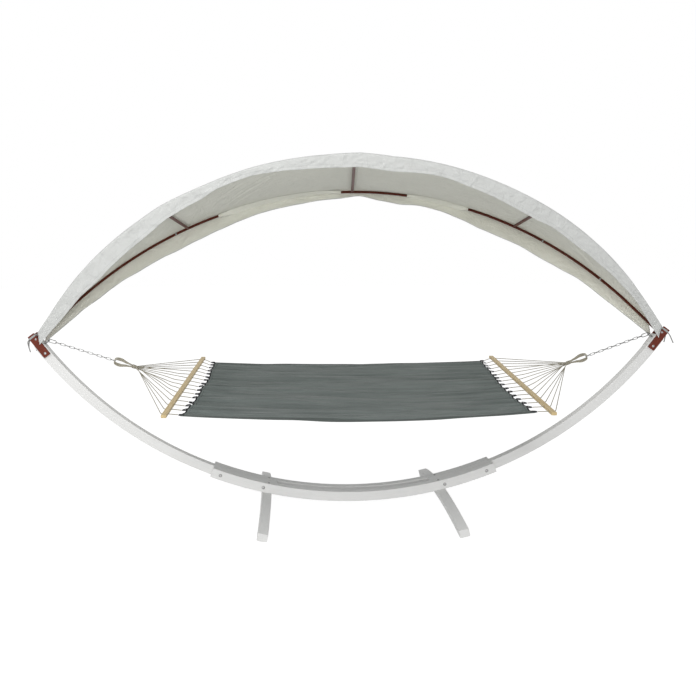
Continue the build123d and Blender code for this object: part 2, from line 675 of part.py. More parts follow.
def tube(points, radius):
    """A cord's tube along straight runs joined by tangent arcs, with its length."""
    with BuildPart() as one:
        with BuildLine() as line:
            FilletPolyline(*points, radius=route_radii(points))
        sweep_round(line.wire(), radius)
    share = one.part.volume / (pi * radius**2 * line.wire().length)
    return one.part, line.wire().length, share


def write_cords(routes, radius, name):
    """Writes a node of cords, and prints their lengths and smallest radius."""
    made = [tube(points, radius) for points in routes]
    with BuildPart() as cords:
        for solid, _, _ in made:
            add(solid)
    least = min(min(route_radii(points)) for points in routes)
    print(f"{name}: lengths {min(m[1] for m in made):.0f} to {max(m[1] for m in made):.0f}, least radius {least:.1f}, "
          f"volume over section x length {min(m[2] for m in made):.4f} to {max(m[2] for m in made):.4f}")
    write(cords, name)


for word, side in SIDES.items():
    write_cords([cord_route(index, side) for index in range(CORD_COUNT)], CORD_R, f"harness_cords_{word}")

# Bed: sections square to its length, lofted, then cut to its scalloped outline
BED_NORMAL = BAR_ALONG.cross(BAR_UP)


def bed_section(station):
    """The outline of one section of the bed: drooping folds between the cord places."""
    fold = BED_FOLD_MID + (BED_FOLD_END - BED_FOLD_MID) * station**2
    places = [cord_place(index, BED_TAB_PITCH) for index in range(CORD_COUNT)]
    edge = places[-1] + BED_HEM
    with BuildLine() as outline:
        for level in (0, -BED_THICK):
            for near, far in zip(places, places[1:]):
                ThreePointArc((near, level), ((near + far) / 2, level - fold), (far, level))
            Line((-edge, level), (places[0], level))
            Line((places[-1], level), (edge, level))
        Line((-edge, 0), (-edge, -BED_THICK))
        Line((edge, 0), (edge, -BED_THICK))
    return outline.edges()


def outline_point(index, shift, inset, side):
    """A point of the bed's outline in plan, beside one cord's place."""
    point = bed_point(index, inset, side) + BAR_ALONG * shift
    return point.X, point.Y


with BuildPart() as bed:
    for station in BED_STATIONS:
        middle = (BED_END_Z[1] + BED_END_Z[-1]) / 2
        slope = (BED_END_Z[1] - BED_END_Z[-1]) / 2
        reach = station * BED_LOFT_OVER
        level = middle + slope * reach - BED_SAG * (1 - reach**2)
        origin = (reach * BED_HALF_LENGTH, 0, level)
        with BuildSketch(Plane(origin=origin, x_dir=BAR_ALONG, z_dir=BED_NORMAL)):
            make_face(bed_section(station))
    loft(ruled=True)
    with BuildSketch(Plane.XY):
        with BuildLine():
            for side in SIDES.values():
                last = CORD_COUNT - 1
                hem = BED_HEM - 1.0
                Line(outline_point(0, -hem, TAB_LENGTH, side), outline_point(0, -TAB_HALF_WIDTH, TAB_LENGTH, side))
                Line(outline_point(last, hem, TAB_LENGTH, side), outline_point(last, TAB_HALF_WIDTH, TAB_LENGTH, side))
                for index in range(CORD_COUNT):
                    corners = [(-TAB_HALF_WIDTH, TAB_LENGTH), (-TAB_HALF_WIDTH, 0), (TAB_HALF_WIDTH, 0),
                               (TAB_HALF_WIDTH, TAB_LENGTH)]
                    Polyline(*[outline_point(index, shift, inset, side) for shift, inset in corners])
                for index in range(last):
                    ThreePointArc(outline_point(index, TAB_HALF_WIDTH, TAB_LENGTH, side),
                                  outline_point(index, BED_TAB_PITCH / 2, TAB_LENGTH + SCALLOP_DEPTH, side),
                                  outline_point(index + 1, -TAB_HALF_WIDTH, TAB_LENGTH, side))
            for index, shift in ((0, -hem), (last, hem)):
                Line(outline_point(index, shift, TAB_LENGTH, -1), outline_point(index, shift, TAB_LENGTH, 1))
        make_face()
    extrude(amount=2 * max(BED_END_Z.values()), mode=Mode.INTERSECT)
write(bed, "hammock_bed")

# Canopy laths: an arc with straight ends in a leaning plane, twisted a little along X
canopy_bolt = on_arc(CANOPY_BOLT_ARC_R, CANOPY_BOLT_ANGLE)


class Lath:
    """One bent lath: its leaning plane and its centre line."""

    def __init__(self, name, facing, tilt, start_y, apex_z):
        self.name = name
        self.facing = facing
        self.tilt = tilt
        self.start_y = facing * start_y
        self.rise = (apex_z - canopy_bolt.Z) / cos(tilt)
        slope = tan(LATH_BEND)
        self.bend_r = (canopy_bolt.X * slope - self.rise) / (slope * sin(LATH_BEND) - 1 + cos(LATH_BEND))
        self.straight = (canopy_bolt.X - self.bend_r * sin(LATH_BEND)) / cos(LATH_BEND)
        self.twist = facing * sin(tilt) * tan(CANOPY_TWIST)
        up = Vector(0, facing * sin(tilt), cos(tilt))
        normal = Vector(1, 0, 0).cross(up)
        self.plane = Plane(origin=(0, self.start_y, canopy_bolt.Z), x_dir=(1, 0, 0), z_dir=normal)
        self.inward = Vector(0, -facing * cos(tilt), sin(tilt))

    def local(self, angle, offset=0.0, run=0.0):
        """A point in the lath's plane: an angle of the bend, an offset outwards, a run past the bend's end."""
        side = 1 if angle >= 0 else -1
        x = (self.bend_r + offset) * sin(angle) + side * run * cos(angle)
        up = self.rise - self.bend_r + (self.bend_r + offset) * cos(angle) - run * abs(sin(angle))
        return x + self.twist * up, up

    def world(self, angle, offset=0.0, run=0.0):
        """The same point in space."""
        return self.plane.from_local_coords(Vector(*self.local(angle, offset, run), 0))

    def angle_at(self, x):
        """The bend's angle at a distance from the middle, before the twist."""
        return asin(x / self.bend_r)


LATHS = {
    "front": Lath("front", -1, LATH_FRONT_TILT, LATH_FRONT_Y, LATH_APEX_Z_FRONT),
    "rear": Lath("rear", 1, LATH_REAR_TILT, LATH_REAR_Y, LATH_APEX_Z_REAR),
}
BEND_ANGLES = [-LATH_BEND + 2 * LATH_BEND * step / LATH_ARCS for step in range(LATH_ARCS + 1)]


def arc_chain(point_at):
    """Arcs through the points that a function gives for the bend's angles."""
    for near, far in zip(BEND_ANGLES, BEND_ANGLES[1:]):
        ThreePointArc(point_at(near), point_at((near + far) / 2), point_at(far))


def crossbar_axis(x):
    """A crossbar's two ends on the laths' centre lines."""
    return [lath.world(lath.angle_at(x)) for lath in LATHS.values()]


def screw_places():
    """Each crossbar screw: the point on its lath, its direction inwards and the lath."""
    places = []
    for x in CROSSBAR_X:
        front_end, rear_end = crossbar_axis(x)
        direction = (rear_end - front_end).normalized()
        places.append((front_end, direction, LATHS["front"]))
        places.append((rear_end, -direction, LATHS["rear"]))
    return places


def face_point(point, direction, lath):
    """Where a screw's axis leaves the lath's outer side."""
    return point - direction * (LATH_THICK / 2 / abs(direction.dot(lath.inward)))


for lath in LATHS.values():
    with BuildPart() as strip:
        with BuildSketch(lath.plane):
            with BuildLine():
                half = LATH_RADIAL / 2
                for offset in (half, -half):
                    arc_chain(lambda angle, offset=offset: lath.local(angle, offset))
                    for end in (-LATH_BEND, LATH_BEND):
                        Line(lath.local(end, offset), lath.local(end, offset, lath.straight + LATH_TAIL))
                for end in (-LATH_BEND, LATH_BEND):
                    reach = lath.straight + LATH_TAIL
                    Line(lath.local(end, half, reach), lath.local(end, -half, reach))
            make_face()
        extrude(amount=LATH_THICK / 2, both=True)
        for side in SIDES.values():
            bore(mirrored(canopy_bolt, side), REAR, CANOPY_BOLT_R + HOLE_GAP, 2 * BEAM_THICK)
        for point, direction, owner in screw_places():
            if owner is lath:
                bore(point, direction, SCREW_R + HOLE_GAP, 4 * LATH_THICK)
                sink = face_point(point, direction, lath) - direction * LATH_THICK
                with BuildSketch(Plane(origin=sink, z_dir=direction)):
                    Circle(SCREW_HEAD_R + HOLE_GAP)
                extrude(amount=LATH_THICK + SCREW_HEAD_H + HOLE_GAP, mode=Mode.SUBTRACT)
    write(strip, f"canopy_lath_{lath.name}")

# Crossbars, cut to lie against the laths' inner sides
for word, x in zip(("left", "centre", "right"), CROSSBAR_X):
    front_end, rear_end = crossbar_axis(x)
    direction = (rear_end - front_end).normalized()
    lie = LATHS["front"].angle_at(x)
    with BuildPart() as crossbar:
        with BuildSketch(Plane(origin=front_end, x_dir=(cos(lie), 0, -sin(lie)), z_dir=direction)):
            RectangleRounded(CROSSBAR_WIDTH, CROSSBAR_THICK, EDGE_ROUND)
        extrude(amount=(rear_end - front_end).length)
        for lath in LATHS.values():
            cut_at = lath.plane.origin + lath.inward * (LATH_THICK / 2 + LATH_SIDE_GAP)
            split(bisect_by=Plane(origin=cut_at, z_dir=lath.inward), keep=Keep.TOP)
        bore(front_end, direction, SCREW_R + THREAD_GAP, 2 * (SCREW_LENGTH + LATH_THICK))
        bore(rear_end, direction, SCREW_R + THREAD_GAP, 2 * (SCREW_LENGTH + LATH_THICK))
    write(crossbar, f"crossbar_{word}")

with BuildPart() as screws:
    for point, direction, lath in screw_places():
        outside = face_point(point, direction, lath)
        with BuildSketch(Plane(origin=outside, z_dir=direction)):
            Circle(SCREW_HEAD_R)
        extrude(amount=SCREW_HEAD_H)
        with BuildSketch(Plane(origin=outside + direction * SCREW_HEAD_H, z_dir=direction)):
            Circle(SCREW_R)
        extrude(amount=SCREW_LENGTH - SCREW_HEAD_H)
write(screws, "crossbar_screws")


# Cover: an outer form between two leaning sides, hollowed from inside and below
class CoverSide:
    """One leaning side of the cover, outside its lath."""

    def __init__(self, lath, valance):
        self.lath = lath
        self.valance = valance
        apex = lath.world(0)
        out = (LATH_THICK / 2 + VALANCE_CLEAR + COVER_THICK) / cos(lath.tilt)
        lean = atan((abs(apex.Y) + out - VALANCE_END_Y) / (apex.Z - COVER_TIP[1]))
        up = Vector(0, lath.facing * sin(lean), cos(lean))
        self.cos_lean = cos(lean)
        self.inward = Vector(0, -lath.facing * cos(lean), sin(lean))
        origin = Vector(0, lath.facing * VALANCE_END_Y, COVER_TIP[1])
        normal = Vector(1, 0, 0).cross(up)
        self.plane = Plane(origin=origin, x_dir=(1, 0, 0), z_dir=normal)
        self.cavity_plane = Plane(origin=origin + self.inward * COVER_THICK, x_dir=(1, 0, 0), z_dir=normal)

    def flat(self, x, z):
        """A point of the side, from its X and Z in space."""
        return x, (z - COVER_TIP[1]) / self.cos_lean

    def edge(self, angle, offset, run=0.0):
        """A point of the side beside the lath, moved outwards by the offset."""
        point = self.lath.world(angle, offset, run)
        return self.flat(point.X, point.Z)

    def end_run(self, offset, z):
        """How far past the bend the straight end reaches a height."""
        bend_end = self.lath.world(LATH_BEND, offset)
        return (bend_end.Z - z) / (sin(LATH_BEND) * cos(self.lath.tilt))

    def depth(self, angle):
        """The valance's depth at an angle of the bend."""
        share = abs(angle) / LATH_BEND
        crown, haunch, tip = self.valance["crown"], self.valance["haunch"], self.valance["tip"]
        if share < VALANCE_HAUNCH_AT:
            return crown + (haunch - crown) * sin(pi / 2 * share / VALANCE_HAUNCH_AT) ** 2
        past = (share - VALANCE_HAUNCH_AT) / (VALANCE_TIP_AT - VALANCE_HAUNCH_AT)
        return haunch + (tip - haunch) * sin(pi / 2 * past) ** 2

    def outer_outline(self):
        """The side's outline, from its outer edge to the valance's lower edge."""
        run = self.end_run(COVER_OUTSIDE, COVER_END_Z)
        with BuildLine() as outline:
            arc_chain(lambda angle: self.edge(angle, COVER_OUTSIDE))
            arc_chain(lambda angle: self.edge(angle, COVER_OUTSIDE - self.depth(angle)))
            for end, side in ((-LATH_BEND, -1), (LATH_BEND, 1)):
                outer_end = self.edge(end, COVER_OUTSIDE, run)
                lower_tip = self.flat(side * COVER_TIP[0], COVER_TIP[1])
                Line(self.edge(end, COVER_OUTSIDE), outer_end)
                Line(outer_end, lower_tip)
                Line(lower_tip, self.edge(end, COVER_OUTSIDE - self.depth(end)))
        return outline.edges()

    def cavity_outline(self):
        """The hollow's outline, open below and past both ends."""
        offset = COVER_OUTSIDE - COVER_THICK
        run = self.end_run(offset, COVER_END_Z) + CAVITY_RUN_OUT
        with BuildLine() as outline:
            arc_chain(lambda angle: self.edge(angle, offset))
            corners = []
            for end in (-LATH_BEND, LATH_BEND):
                outer_end = self.edge(end, offset, run)
                Line(self.edge(end, offset), outer_end)
                corners.append((outer_end[0], self.flat(0, CAVITY_FLOOR_Z)[1]))
                Line(outer_end, corners[-1])
            Line(*corners)
        return outline.edges()


cover_sides = [CoverSide(LATHS["front"], VALANCE_FRONT), CoverSide(LATHS["rear"], VALANCE_REAR)]
with BuildPart() as cavity:
    for one_side in cover_sides:
        with BuildSketch(one_side.cavity_plane):
            make_face(one_side.cavity_outline())
    loft(ruled=True)
with BuildPart() as cover:
    for one_side in cover_sides:
        with BuildSketch(one_side.plane):
            make_face(one_side.outer_outline())
    loft(ruled=True)
    add(cavity.part, mode=Mode.SUBTRACT)

# The cover is sewn from a top sheet and two side strips, parted where the strips' inner faces are
for one_side in cover_sides:
    parting = Plane(origin=one_side.cavity_plane.origin, z_dir=one_side.inward)
    with BuildPart() as valance:
        add(cover.part)
        split(bisect_by=parting, keep=Keep.BOTTOM)
    write(valance, f"valance_{one_side.lath.name}")
with BuildPart() as top_sheet:
    add(cover.part)
    for one_side in cover_sides:
        split(bisect_by=Plane(origin=one_side.cavity_plane.origin, z_dir=one_side.inward), keep=Keep.TOP)
write(top_sheet, "canopy_top")

# Small ties that hold the cover to the rear lath
with BuildPart() as cover_ties:
    lath = LATHS["rear"]
    for x in COVER_TIE_X:
        angle = lath.angle_at(x)
        centre = lath.world(angle)
        tangent = (lath.world(angle + 0.01) - lath.world(angle - 0.01)).normalized()
        with BuildSketch(Plane(origin=centre, x_dir=lath.inward, z_dir=tangent)):
            wide = LATH_THICK + 2 * STRAP_GAP
            high = LATH_RADIAL + 2 * STRAP_GAP
            RectangleRounded(wide + 2 * COVER_TIE_THICK, high + 2 * COVER_TIE_THICK, 1.5 * COVER_TIE_THICK)
            Rectangle(wide, high, mode=Mode.SUBTRACT)
        extrude(amount=COVER_TIE_WIDTH / 2, both=True)
write(cover_ties, "cover_ties")

# Tie straps at the plates
for word, side in SIDES.items():
    radial = outward(PLATE_ANGLE, side)
    centre = on_arc(PLATE_R, PLATE_ANGLE, 0, side) + along(PLATE_ANGLE, side) * STRAP_PLACE
    high = PLATE_WIDTH + 2 * STRAP_GAP
    deep = 2 * (PLATE_OUTER_Y + STRAP_GAP)
    with BuildPart() as strap:
        with BuildSketch(Plane(origin=centre, x_dir=radial, z_dir=along(PLATE_ANGLE, side))):
            RectangleRounded(high + 2 * STRAP_THICK, deep + 2 * STRAP_THICK, STRAP_CORNER)
            Rectangle(high, deep, mode=Mode.SUBTRACT)
        extrude(amount=STRAP_WIDTH / 2, both=True)
    write(strap, f"tie_strap_{word}")

    routes = []
    for start_y, steps in zip(TAIL_START_Y, TAIL_STEPS):
        out = high / 2 + STRAP_THICK + HOLE_GAP
        points = [centre + radial * out + Vector(0, start_y, 0)]
        points.append(points[0] + radial * TAIL_FIRST_RUN)
        for step in steps:
            points.append(points[-1] + mirrored(Vector(*step), side))
        routes.append(points)
    write_cords(routes, TAIL_R, f"tie_tails_{word}")
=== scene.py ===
import bpy
import bmesh
from math import asin, atan, atan2, cos, pi, radians, sin, tan
from mathutils import Matrix, Vector, noise


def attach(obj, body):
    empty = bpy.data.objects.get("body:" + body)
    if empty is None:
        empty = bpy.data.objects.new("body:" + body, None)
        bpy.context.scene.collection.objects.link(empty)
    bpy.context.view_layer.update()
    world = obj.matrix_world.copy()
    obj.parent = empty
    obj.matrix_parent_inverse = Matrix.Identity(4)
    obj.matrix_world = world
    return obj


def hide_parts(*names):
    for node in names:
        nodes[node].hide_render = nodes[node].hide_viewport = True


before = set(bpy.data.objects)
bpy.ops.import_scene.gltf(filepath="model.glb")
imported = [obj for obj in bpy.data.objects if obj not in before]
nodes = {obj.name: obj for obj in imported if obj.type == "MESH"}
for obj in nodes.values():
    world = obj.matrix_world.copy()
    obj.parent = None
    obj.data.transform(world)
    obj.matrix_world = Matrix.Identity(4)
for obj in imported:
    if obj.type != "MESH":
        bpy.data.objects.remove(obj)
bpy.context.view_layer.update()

# Driving sizes of the object, in metres
ARC_CENTRE_Z = 2.554058
EYE_RIM = Vector((1.927978, 0.0, 1.114706))
SIDES = {"left": -1, "right": 1}
BAR_PLACE = {-1: (1.072, 0.832), 1: (1.077, 0.8135)}
BAR_LENGTH = 1.228
BAR_WIDTH = 0.030
BAR_YAW = radians(3.44)
BAR_TILT = radians(5.62)
BAR_ALONG = Vector((sin(BAR_YAW) * cos(BAR_TILT), cos(BAR_YAW) * cos(BAR_TILT), sin(BAR_TILT)))
BAR_ACROSS = Vector((cos(BAR_YAW), -sin(BAR_YAW), 0.0))
BAR_UP = BAR_ACROSS.cross(BAR_ALONG)
CORD_COUNT = 16
CORD_R = 0.0025
BAR_HOLE_PITCH = 0.0760
BED_TAB_PITCH = 0.0726
TABS_HALF_WIDTH = (CORD_COUNT - 1) / 2 * BED_TAB_PITCH
TAPE_OVERHANG = 0.006
BED_HALF_LENGTH = 1.008
BED_CLOTH_HALF = 0.994
BED_HEM = 0.009
BED_END_Z = {-1: 0.819, 1: 0.806}
BED_SAG = 0.031
ROPE_TIP_S = 0.4267
NECK_S = 0.5387
NECK_LENGTH = 0.030
WHIPPING_TURNS, WHIPPING_STEPS = 8, 12
WHIPPING_PITCH, WHIPPING_R = 0.00295, 0.01175
LATH_BEND_DEGREES = 52.0
LATH_BEND = radians(LATH_BEND_DEGREES)
CANOPY_TWIST = radians(6.25)
COVER_HALF_RUN = 2.3
COVER_TIP_X, COVER_TIP_Y, COVER_TIP_Z = 1.974, 0.0395, 1.094
COVER_END_TOP_Z = 1.171
CROSSBAR_PLACE, CROSSBAR_REACH = 0.529, 0.16
CANOPY_BOLT_R, CANOPY_BOLT_ANGLE = 2.456, 0.951
CANOPY_BOLT = Vector((CANOPY_BOLT_R * sin(CANOPY_BOLT_ANGLE), 0.0,
                      ARC_CENTRE_Z - CANOPY_BOLT_R * cos(CANOPY_BOLT_ANGLE)))


def mirrored(point, side):
    """The right-hand end's point, or its mirror image."""
    return Vector((side * point[0], point[1], point[2]))


def bar_middle(side):
    return Vector((side * BAR_PLACE[side][0], 0.0, BAR_PLACE[side][1]))


def pull_direction(side):
    return (bar_middle(side) - mirrored(EYE_RIM, side)).normalized()


def lift_direction(side):
    pull = pull_direction(side)
    return Vector((side * pull.z, 0.0, -side * pull.x))


def on_pull(s, lift=0.0, y=0.0, side=1):
    """A point at a distance from the eye bolt's rim towards the bar."""
    return mirrored(EYE_RIM, side) + pull_direction(side) * s + lift_direction(side) * lift + Vector((0, y,
                                                                                                      0))


# Small tools
def deselect():
    for obj in bpy.context.selected_objects:
        obj.select_set(False)


def select_only(obj):
    deselect()
    obj.select_set(True)
    bpy.context.view_layer.objects.active = obj


def apply_modifiers(obj):
    select_only(obj)
    for modifier in list(obj.modifiers):
        bpy.ops.object.modifier_apply(modifier=modifier.name)


def grid(name, columns, rows):
    """A flat grid of points, to be shaped by moving its vertices; returned with its own points' places."""
    deselect()
    bpy.ops.mesh.primitive_grid_add(x_subdivisions=columns, y_subdivisions=rows, size=2.0)
    obj = bpy.context.active_object
    obj.name = name
    obj.data.name = name
    places = [((v.co.x + 1) / 2, (v.co.y + 1) / 2) for v in obj.data.vertices]
    return obj, places


def uv_from(obj, values):
    """Writes a pair of numbers for each vertex into the UV map."""
    layer = obj.data.uv_layers.active or obj.data.uv_layers.new(name="UVMap")
    for loop in obj.data.loops:
        layer.data[loop.index].uv = values[loop.vertex_index]


def smooth(obj, angle=None):
    select_only(obj)
    if angle is None:
        bpy.ops.object.shade_smooth()
    else:
        bpy.ops.object.shade_smooth_by_angle(angle=radians(angle))


def ease(x):
    x = min(1.0, max(0.0, x))
    return x * x * (3 - 2 * x)


def through(pairs, x, soft=1.0):
    """A value through listed pairs of place and value, with softened corners or plain straight runs."""
    if x <= pairs[0][0]:
        return pairs[0][1]
    for (x0, y0), (x1, y1) in zip(pairs, pairs[1:]):
        if x <= x1:
            share = (x - x0) / (x1 - x0)
            return y0 + (y1 - y0) * (soft * ease(share) + (1 - soft) * share)
    return pairs[-1][1]


# Node groups shared by several materials
def new_group(name, inputs, outputs):
    group = bpy.data.node_groups.new(name, "ShaderNodeTree")
    for label, kind, value in inputs:
        socket = group.interface.new_socket(name=label, in_out="INPUT", socket_type=kind)
        if value is not None:
            socket.default_value = value
    for label, kind in outputs:
        group.interface.new_socket(name=label, in_out="OUTPUT", socket_type=kind)
    return group, group.nodes.new("NodeGroupInput"), group.nodes.new("NodeGroupOutput")


def add_node(tree, kind, inputs=(), **settings):
    """Adds a node, sets its properties, and links or sets its inputs."""
    node = tree.nodes.new(kind)
    for key, value in settings.items():
        setattr(node, key, value)
    for key, value in dict(inputs).items():
        if isinstance(value, bpy.types.NodeSocket):
            tree.links.new(value, node.inputs[key])
        else:
            node.inputs[key].default_value = value
    return node


def maths(tree, operation, a, b=0.0, clamp=False):
    return add_node(tree, "ShaderNodeMath", {0: a, 1: b}, operation=operation, use_clamp=clamp).outputs[0]


def times(tree, a, b):
    return maths(tree, "MULTIPLY", a, b)


def plus(tree, a, b, clamp=False):
    return maths(tree, "ADD", a, b, clamp)


def noise_at(tree, place, scale, detail, roughness=0.5, distortion=0.0):
    """The value of a noise pattern at a place."""
    return add_node(tree, "ShaderNodeTexNoise",
                    {"Vector": place, "Scale": scale, "Detail": detail, "Roughness": roughness,
                     "Distortion": distortion}).outputs[0]


def ramp(tree, value, low, high, to_low=0.0, to_high=1.0):
    return add_node(tree, "ShaderNodeMapRange", {"Value": value, "From Min": low, "From Max": high,
                                                 "To Min": to_low, "To Max": to_high}).outputs["Result"]


def blend_colours(tree, factor, one, two):
    """Mixes two colours by a factor; a Mix node's colours are its inputs 6 and 7 and its output 2."""
    return add_node(tree, "ShaderNodeMix", {0: factor, 6: one, 7: two}, data_type="RGBA").outputs[2]


def make_grain_group():
    """Wood grain that runs along the first axis of the position it is given, in metres."""
    group, source, sink = new_group("wood_grain",
                                    [("Position", "NodeSocketVector", None),
                                     ("Stretch", "NodeSocketFloat", 40.0)],
                                    [("Grain", "NodeSocketFloat"), ("Figure", "NodeSocketFloat")])
    parts = add_node(group, "ShaderNodeSeparateXYZ", {0: source.outputs["Position"]})
    along = times(group, parts.outputs[0], 2.2)
    across = times(group, parts.outputs[1], source.outputs["Stretch"])
    deep = times(group, parts.outputs[2], source.outputs["Stretch"])
    place = add_node(group, "ShaderNodeCombineXYZ", {0: along, 1: across, 2: deep}).outputs[0]
    figure = noise_at(group, place, 1.6, 3.0, 0.55, 0.4)
    rings = maths(group, "SINE", times(group, figure, 34.0))
    fine_place = add_node(group, "ShaderNodeCombineXYZ",
                          {0: times(group, along, 4.0), 1: times(group, across, 14.0),
                           2: times(group, deep, 14.0)}).outputs[0]
    pores = noise_at(group, fine_place, 1.0, 4.0, 0.7)
    grain = plus(group, times(group, ramp(group, rings, -1.0, 1.0), 0.55), times(group, pores, 0.45))
    group.links.new(grain, sink.inputs["Grain"])
    group.links.new(figure, sink.inputs["Figure"])
    return group


def make_bent_place_group():
    """Turns a position into one along, across and through a piece that is bent round an axis along Y."""
    group, source, sink = new_group("bent_place",
                                    [("Position", "NodeSocketVector", None),
                                     ("Centre Z", "NodeSocketFloat", 0.0),
                                     ("Radius", "NodeSocketFloat", 2.4), ("Up", "NodeSocketFloat", -1.0)],
                                    [("Position", "NodeSocketVector")])
    parts = add_node(group, "ShaderNodeSeparateXYZ", {0: source.outputs["Position"]})
    height = times(group, maths(group, "SUBTRACT", parts.outputs[2], source.outputs["Centre Z"]),
                   source.outputs["Up"])
    turn = maths(group, "ARCTAN2", parts.outputs[0], height)
    reach = maths(group, "SQRT", plus(group, times(group, parts.outputs[0], parts.outputs[0]),
                                       times(group, height, height)))
    bent = add_node(group, "ShaderNodeCombineXYZ",
                    {0: times(group, turn, source.outputs["Radius"]), 1: reach, 2: parts.outputs[1]})
    group.links.new(bent.outputs[0], sink.inputs["Position"])
    return group


def make_wear_group():
    """Soft blotches and specks of handling and dust."""
    group, source, sink = new_group("wear",
                                    [("Position", "NodeSocketVector", None),
                                     ("Amount", "NodeSocketFloat", 0.5)],
                                    [("Blotches", "NodeSocketFloat"), ("Specks", "NodeSocketFloat")])
    broad = noise_at(group, source.outputs["Position"], 5.0, 4.0, 0.6)
    small = noise_at(group, source.outputs["Position"], 160.0, 2.0)
    group.links.new(times(group, ramp(group, broad, 0.35, 0.7), source.outputs["Amount"]),
                    sink.inputs["Blotches"])
    group.links.new(times(group, ramp(group, small, 0.66, 0.72), source.outputs["Amount"]),
                    sink.inputs["Specks"])
    return group


def make_weave_group():
    """Plain weave: warp and weft threads from a UV in metres, with slubs."""
    group, source, sink = new_group("plain_weave",
                                    [("UV", "NodeSocketVector", None),
                                     ("Thread", "NodeSocketFloat", 0.0012)],
                                    [("Height", "NodeSocketFloat"), ("Slubs", "NodeSocketFloat")])
    parts = add_node(group, "ShaderNodeSeparateXYZ", {0: source.outputs["UV"]})
    turns = [times(group, maths(group, "DIVIDE", parts.outputs[i], source.outputs["Thread"]),
                   pi) for i in (0, 1)]
    warp = maths(group, "ABSOLUTE", maths(group, "SINE", turns[0]))
    weft = maths(group, "ABSOLUTE", maths(group, "SINE", turns[1]))
    over = maths(group, "GREATER_THAN", times(group, maths(group, "SINE", turns[0]),
                                              maths(group, "SINE", turns[1])), 0.0)
    height = add_node(group, "ShaderNodeMix", {"Factor": over, "A": warp, "B": weft},
                      data_type="FLOAT").outputs[0]
    stretched = add_node(group, "ShaderNodeVectorMath", {0: source.outputs["UV"], 1: (6.0, 420.0, 1.0)},
                         operation="MULTIPLY").outputs[0]
    slubs = noise_at(group, stretched, 1.0, 3.0, 0.7)
    group.links.new(height, sink.inputs["Height"])
    group.links.new(slubs, sink.inputs["Slubs"])
    return group


GRAIN, BENT, WEAR, WEAVE = make_grain_group(), make_bent_place_group(), make_wear_group(), make_weave_group()


def use_group(tree, group, inputs):
    return add_node(tree, "ShaderNodeGroup", inputs, node_tree=group)


def start_material(name, roughness=0.5, metallic=0.0, specular=0.5):
    material = bpy.data.materials.new(name)
    material.use_nodes = True
    tree = material.node_tree
    shader = tree.nodes["Principled BSDF"]
    shader.inputs["Roughness"].default_value = roughness
    shader.inputs["Metallic"].default_value = metallic
    shader.inputs["Specular IOR Level"].default_value = specular
    coordinates = tree.nodes.new("ShaderNodeTexCoord")
    return material, tree, shader, coordinates


def bump(tree, shader, height, strength, distance):
    node = add_node(tree, "ShaderNodeBump", {"Height": height, "Strength": strength, "Distance": distance})
    tree.links.new(node.outputs[0], shader.inputs["Normal"])


def wood(name, pale, dark, roughness, centre_z=None, up=-1.0, radius=2.47, axis=None, strength=0.25,
         figure=0.5, stretch=40.0, wear=0.3, specular=0.5):
    """Wood whose grain follows a bent beam, or runs along an axis."""
    material, tree, shader, coordinates = start_material(name, roughness, 0.0, specular)
    place = coordinates.outputs["Object"]
    if centre_z is not None:
        place = use_group(tree, BENT, {"Position": place, "Centre Z": centre_z, "Radius": radius,
                                       "Up": up}).outputs[0]
    elif axis is not None:
        turn = Vector((1, 0, 0)).rotation_difference(Vector(axis)).inverted().to_euler()
        place = add_node(tree, "ShaderNodeMapping", {"Vector": place, "Rotation": tuple(turn)},
                         vector_type="POINT").outputs[0]
    grain = use_group(tree, GRAIN, {"Position": place, "Stretch": stretch})
    marks = use_group(tree, WEAR, {"Position": coordinates.outputs["Object"], "Amount": wear})
    mixed = plus(tree, times(tree, grain.outputs["Grain"], figure),
                 times(tree, marks.outputs["Blotches"], 0.4), True)
    tree.links.new(blend_colours(tree, mixed, pale, dark), shader.inputs["Base Color"])
    rough = plus(tree, times(tree, grain.outputs["Grain"], 0.12), roughness - 0.06, True)
    tree.links.new(rough, shader.inputs["Roughness"])
    bump(tree, shader, grain.outputs["Grain"], strength, 0.0006)
    return material


def zinc(name, colour=(0.56, 0.56, 0.55, 1.0)):
    material, tree, shader, coordinates = start_material(name, 0.36, 1.0)
    spangle = add_node(tree, "ShaderNodeTexVoronoi",
                       {"Vector": coordinates.outputs["Object"], "Scale": 900.0}).outputs["Color"]
    level = add_node(tree, "ShaderNodeSeparateColor", {0: spangle}).outputs[0]
    marks = use_group(tree, WEAR, {"Position": coordinates.outputs["Object"], "Amount": 0.6})
    dull = tuple(0.72 * c for c in colour[:3]) + (1.0,)
    tree.links.new(blend_colours(tree, times(tree, level, 0.5), colour, dull), shader.inputs["Base Color"])
    rough = plus(tree, times(tree, level, 0.16),
                 plus(tree, 0.26, times(tree, marks.outputs["Blotches"], 0.2)))
    tree.links.new(rough, shader.inputs["Roughness"])
    bump(tree, shader, level, 0.06, 0.0002)
    return material


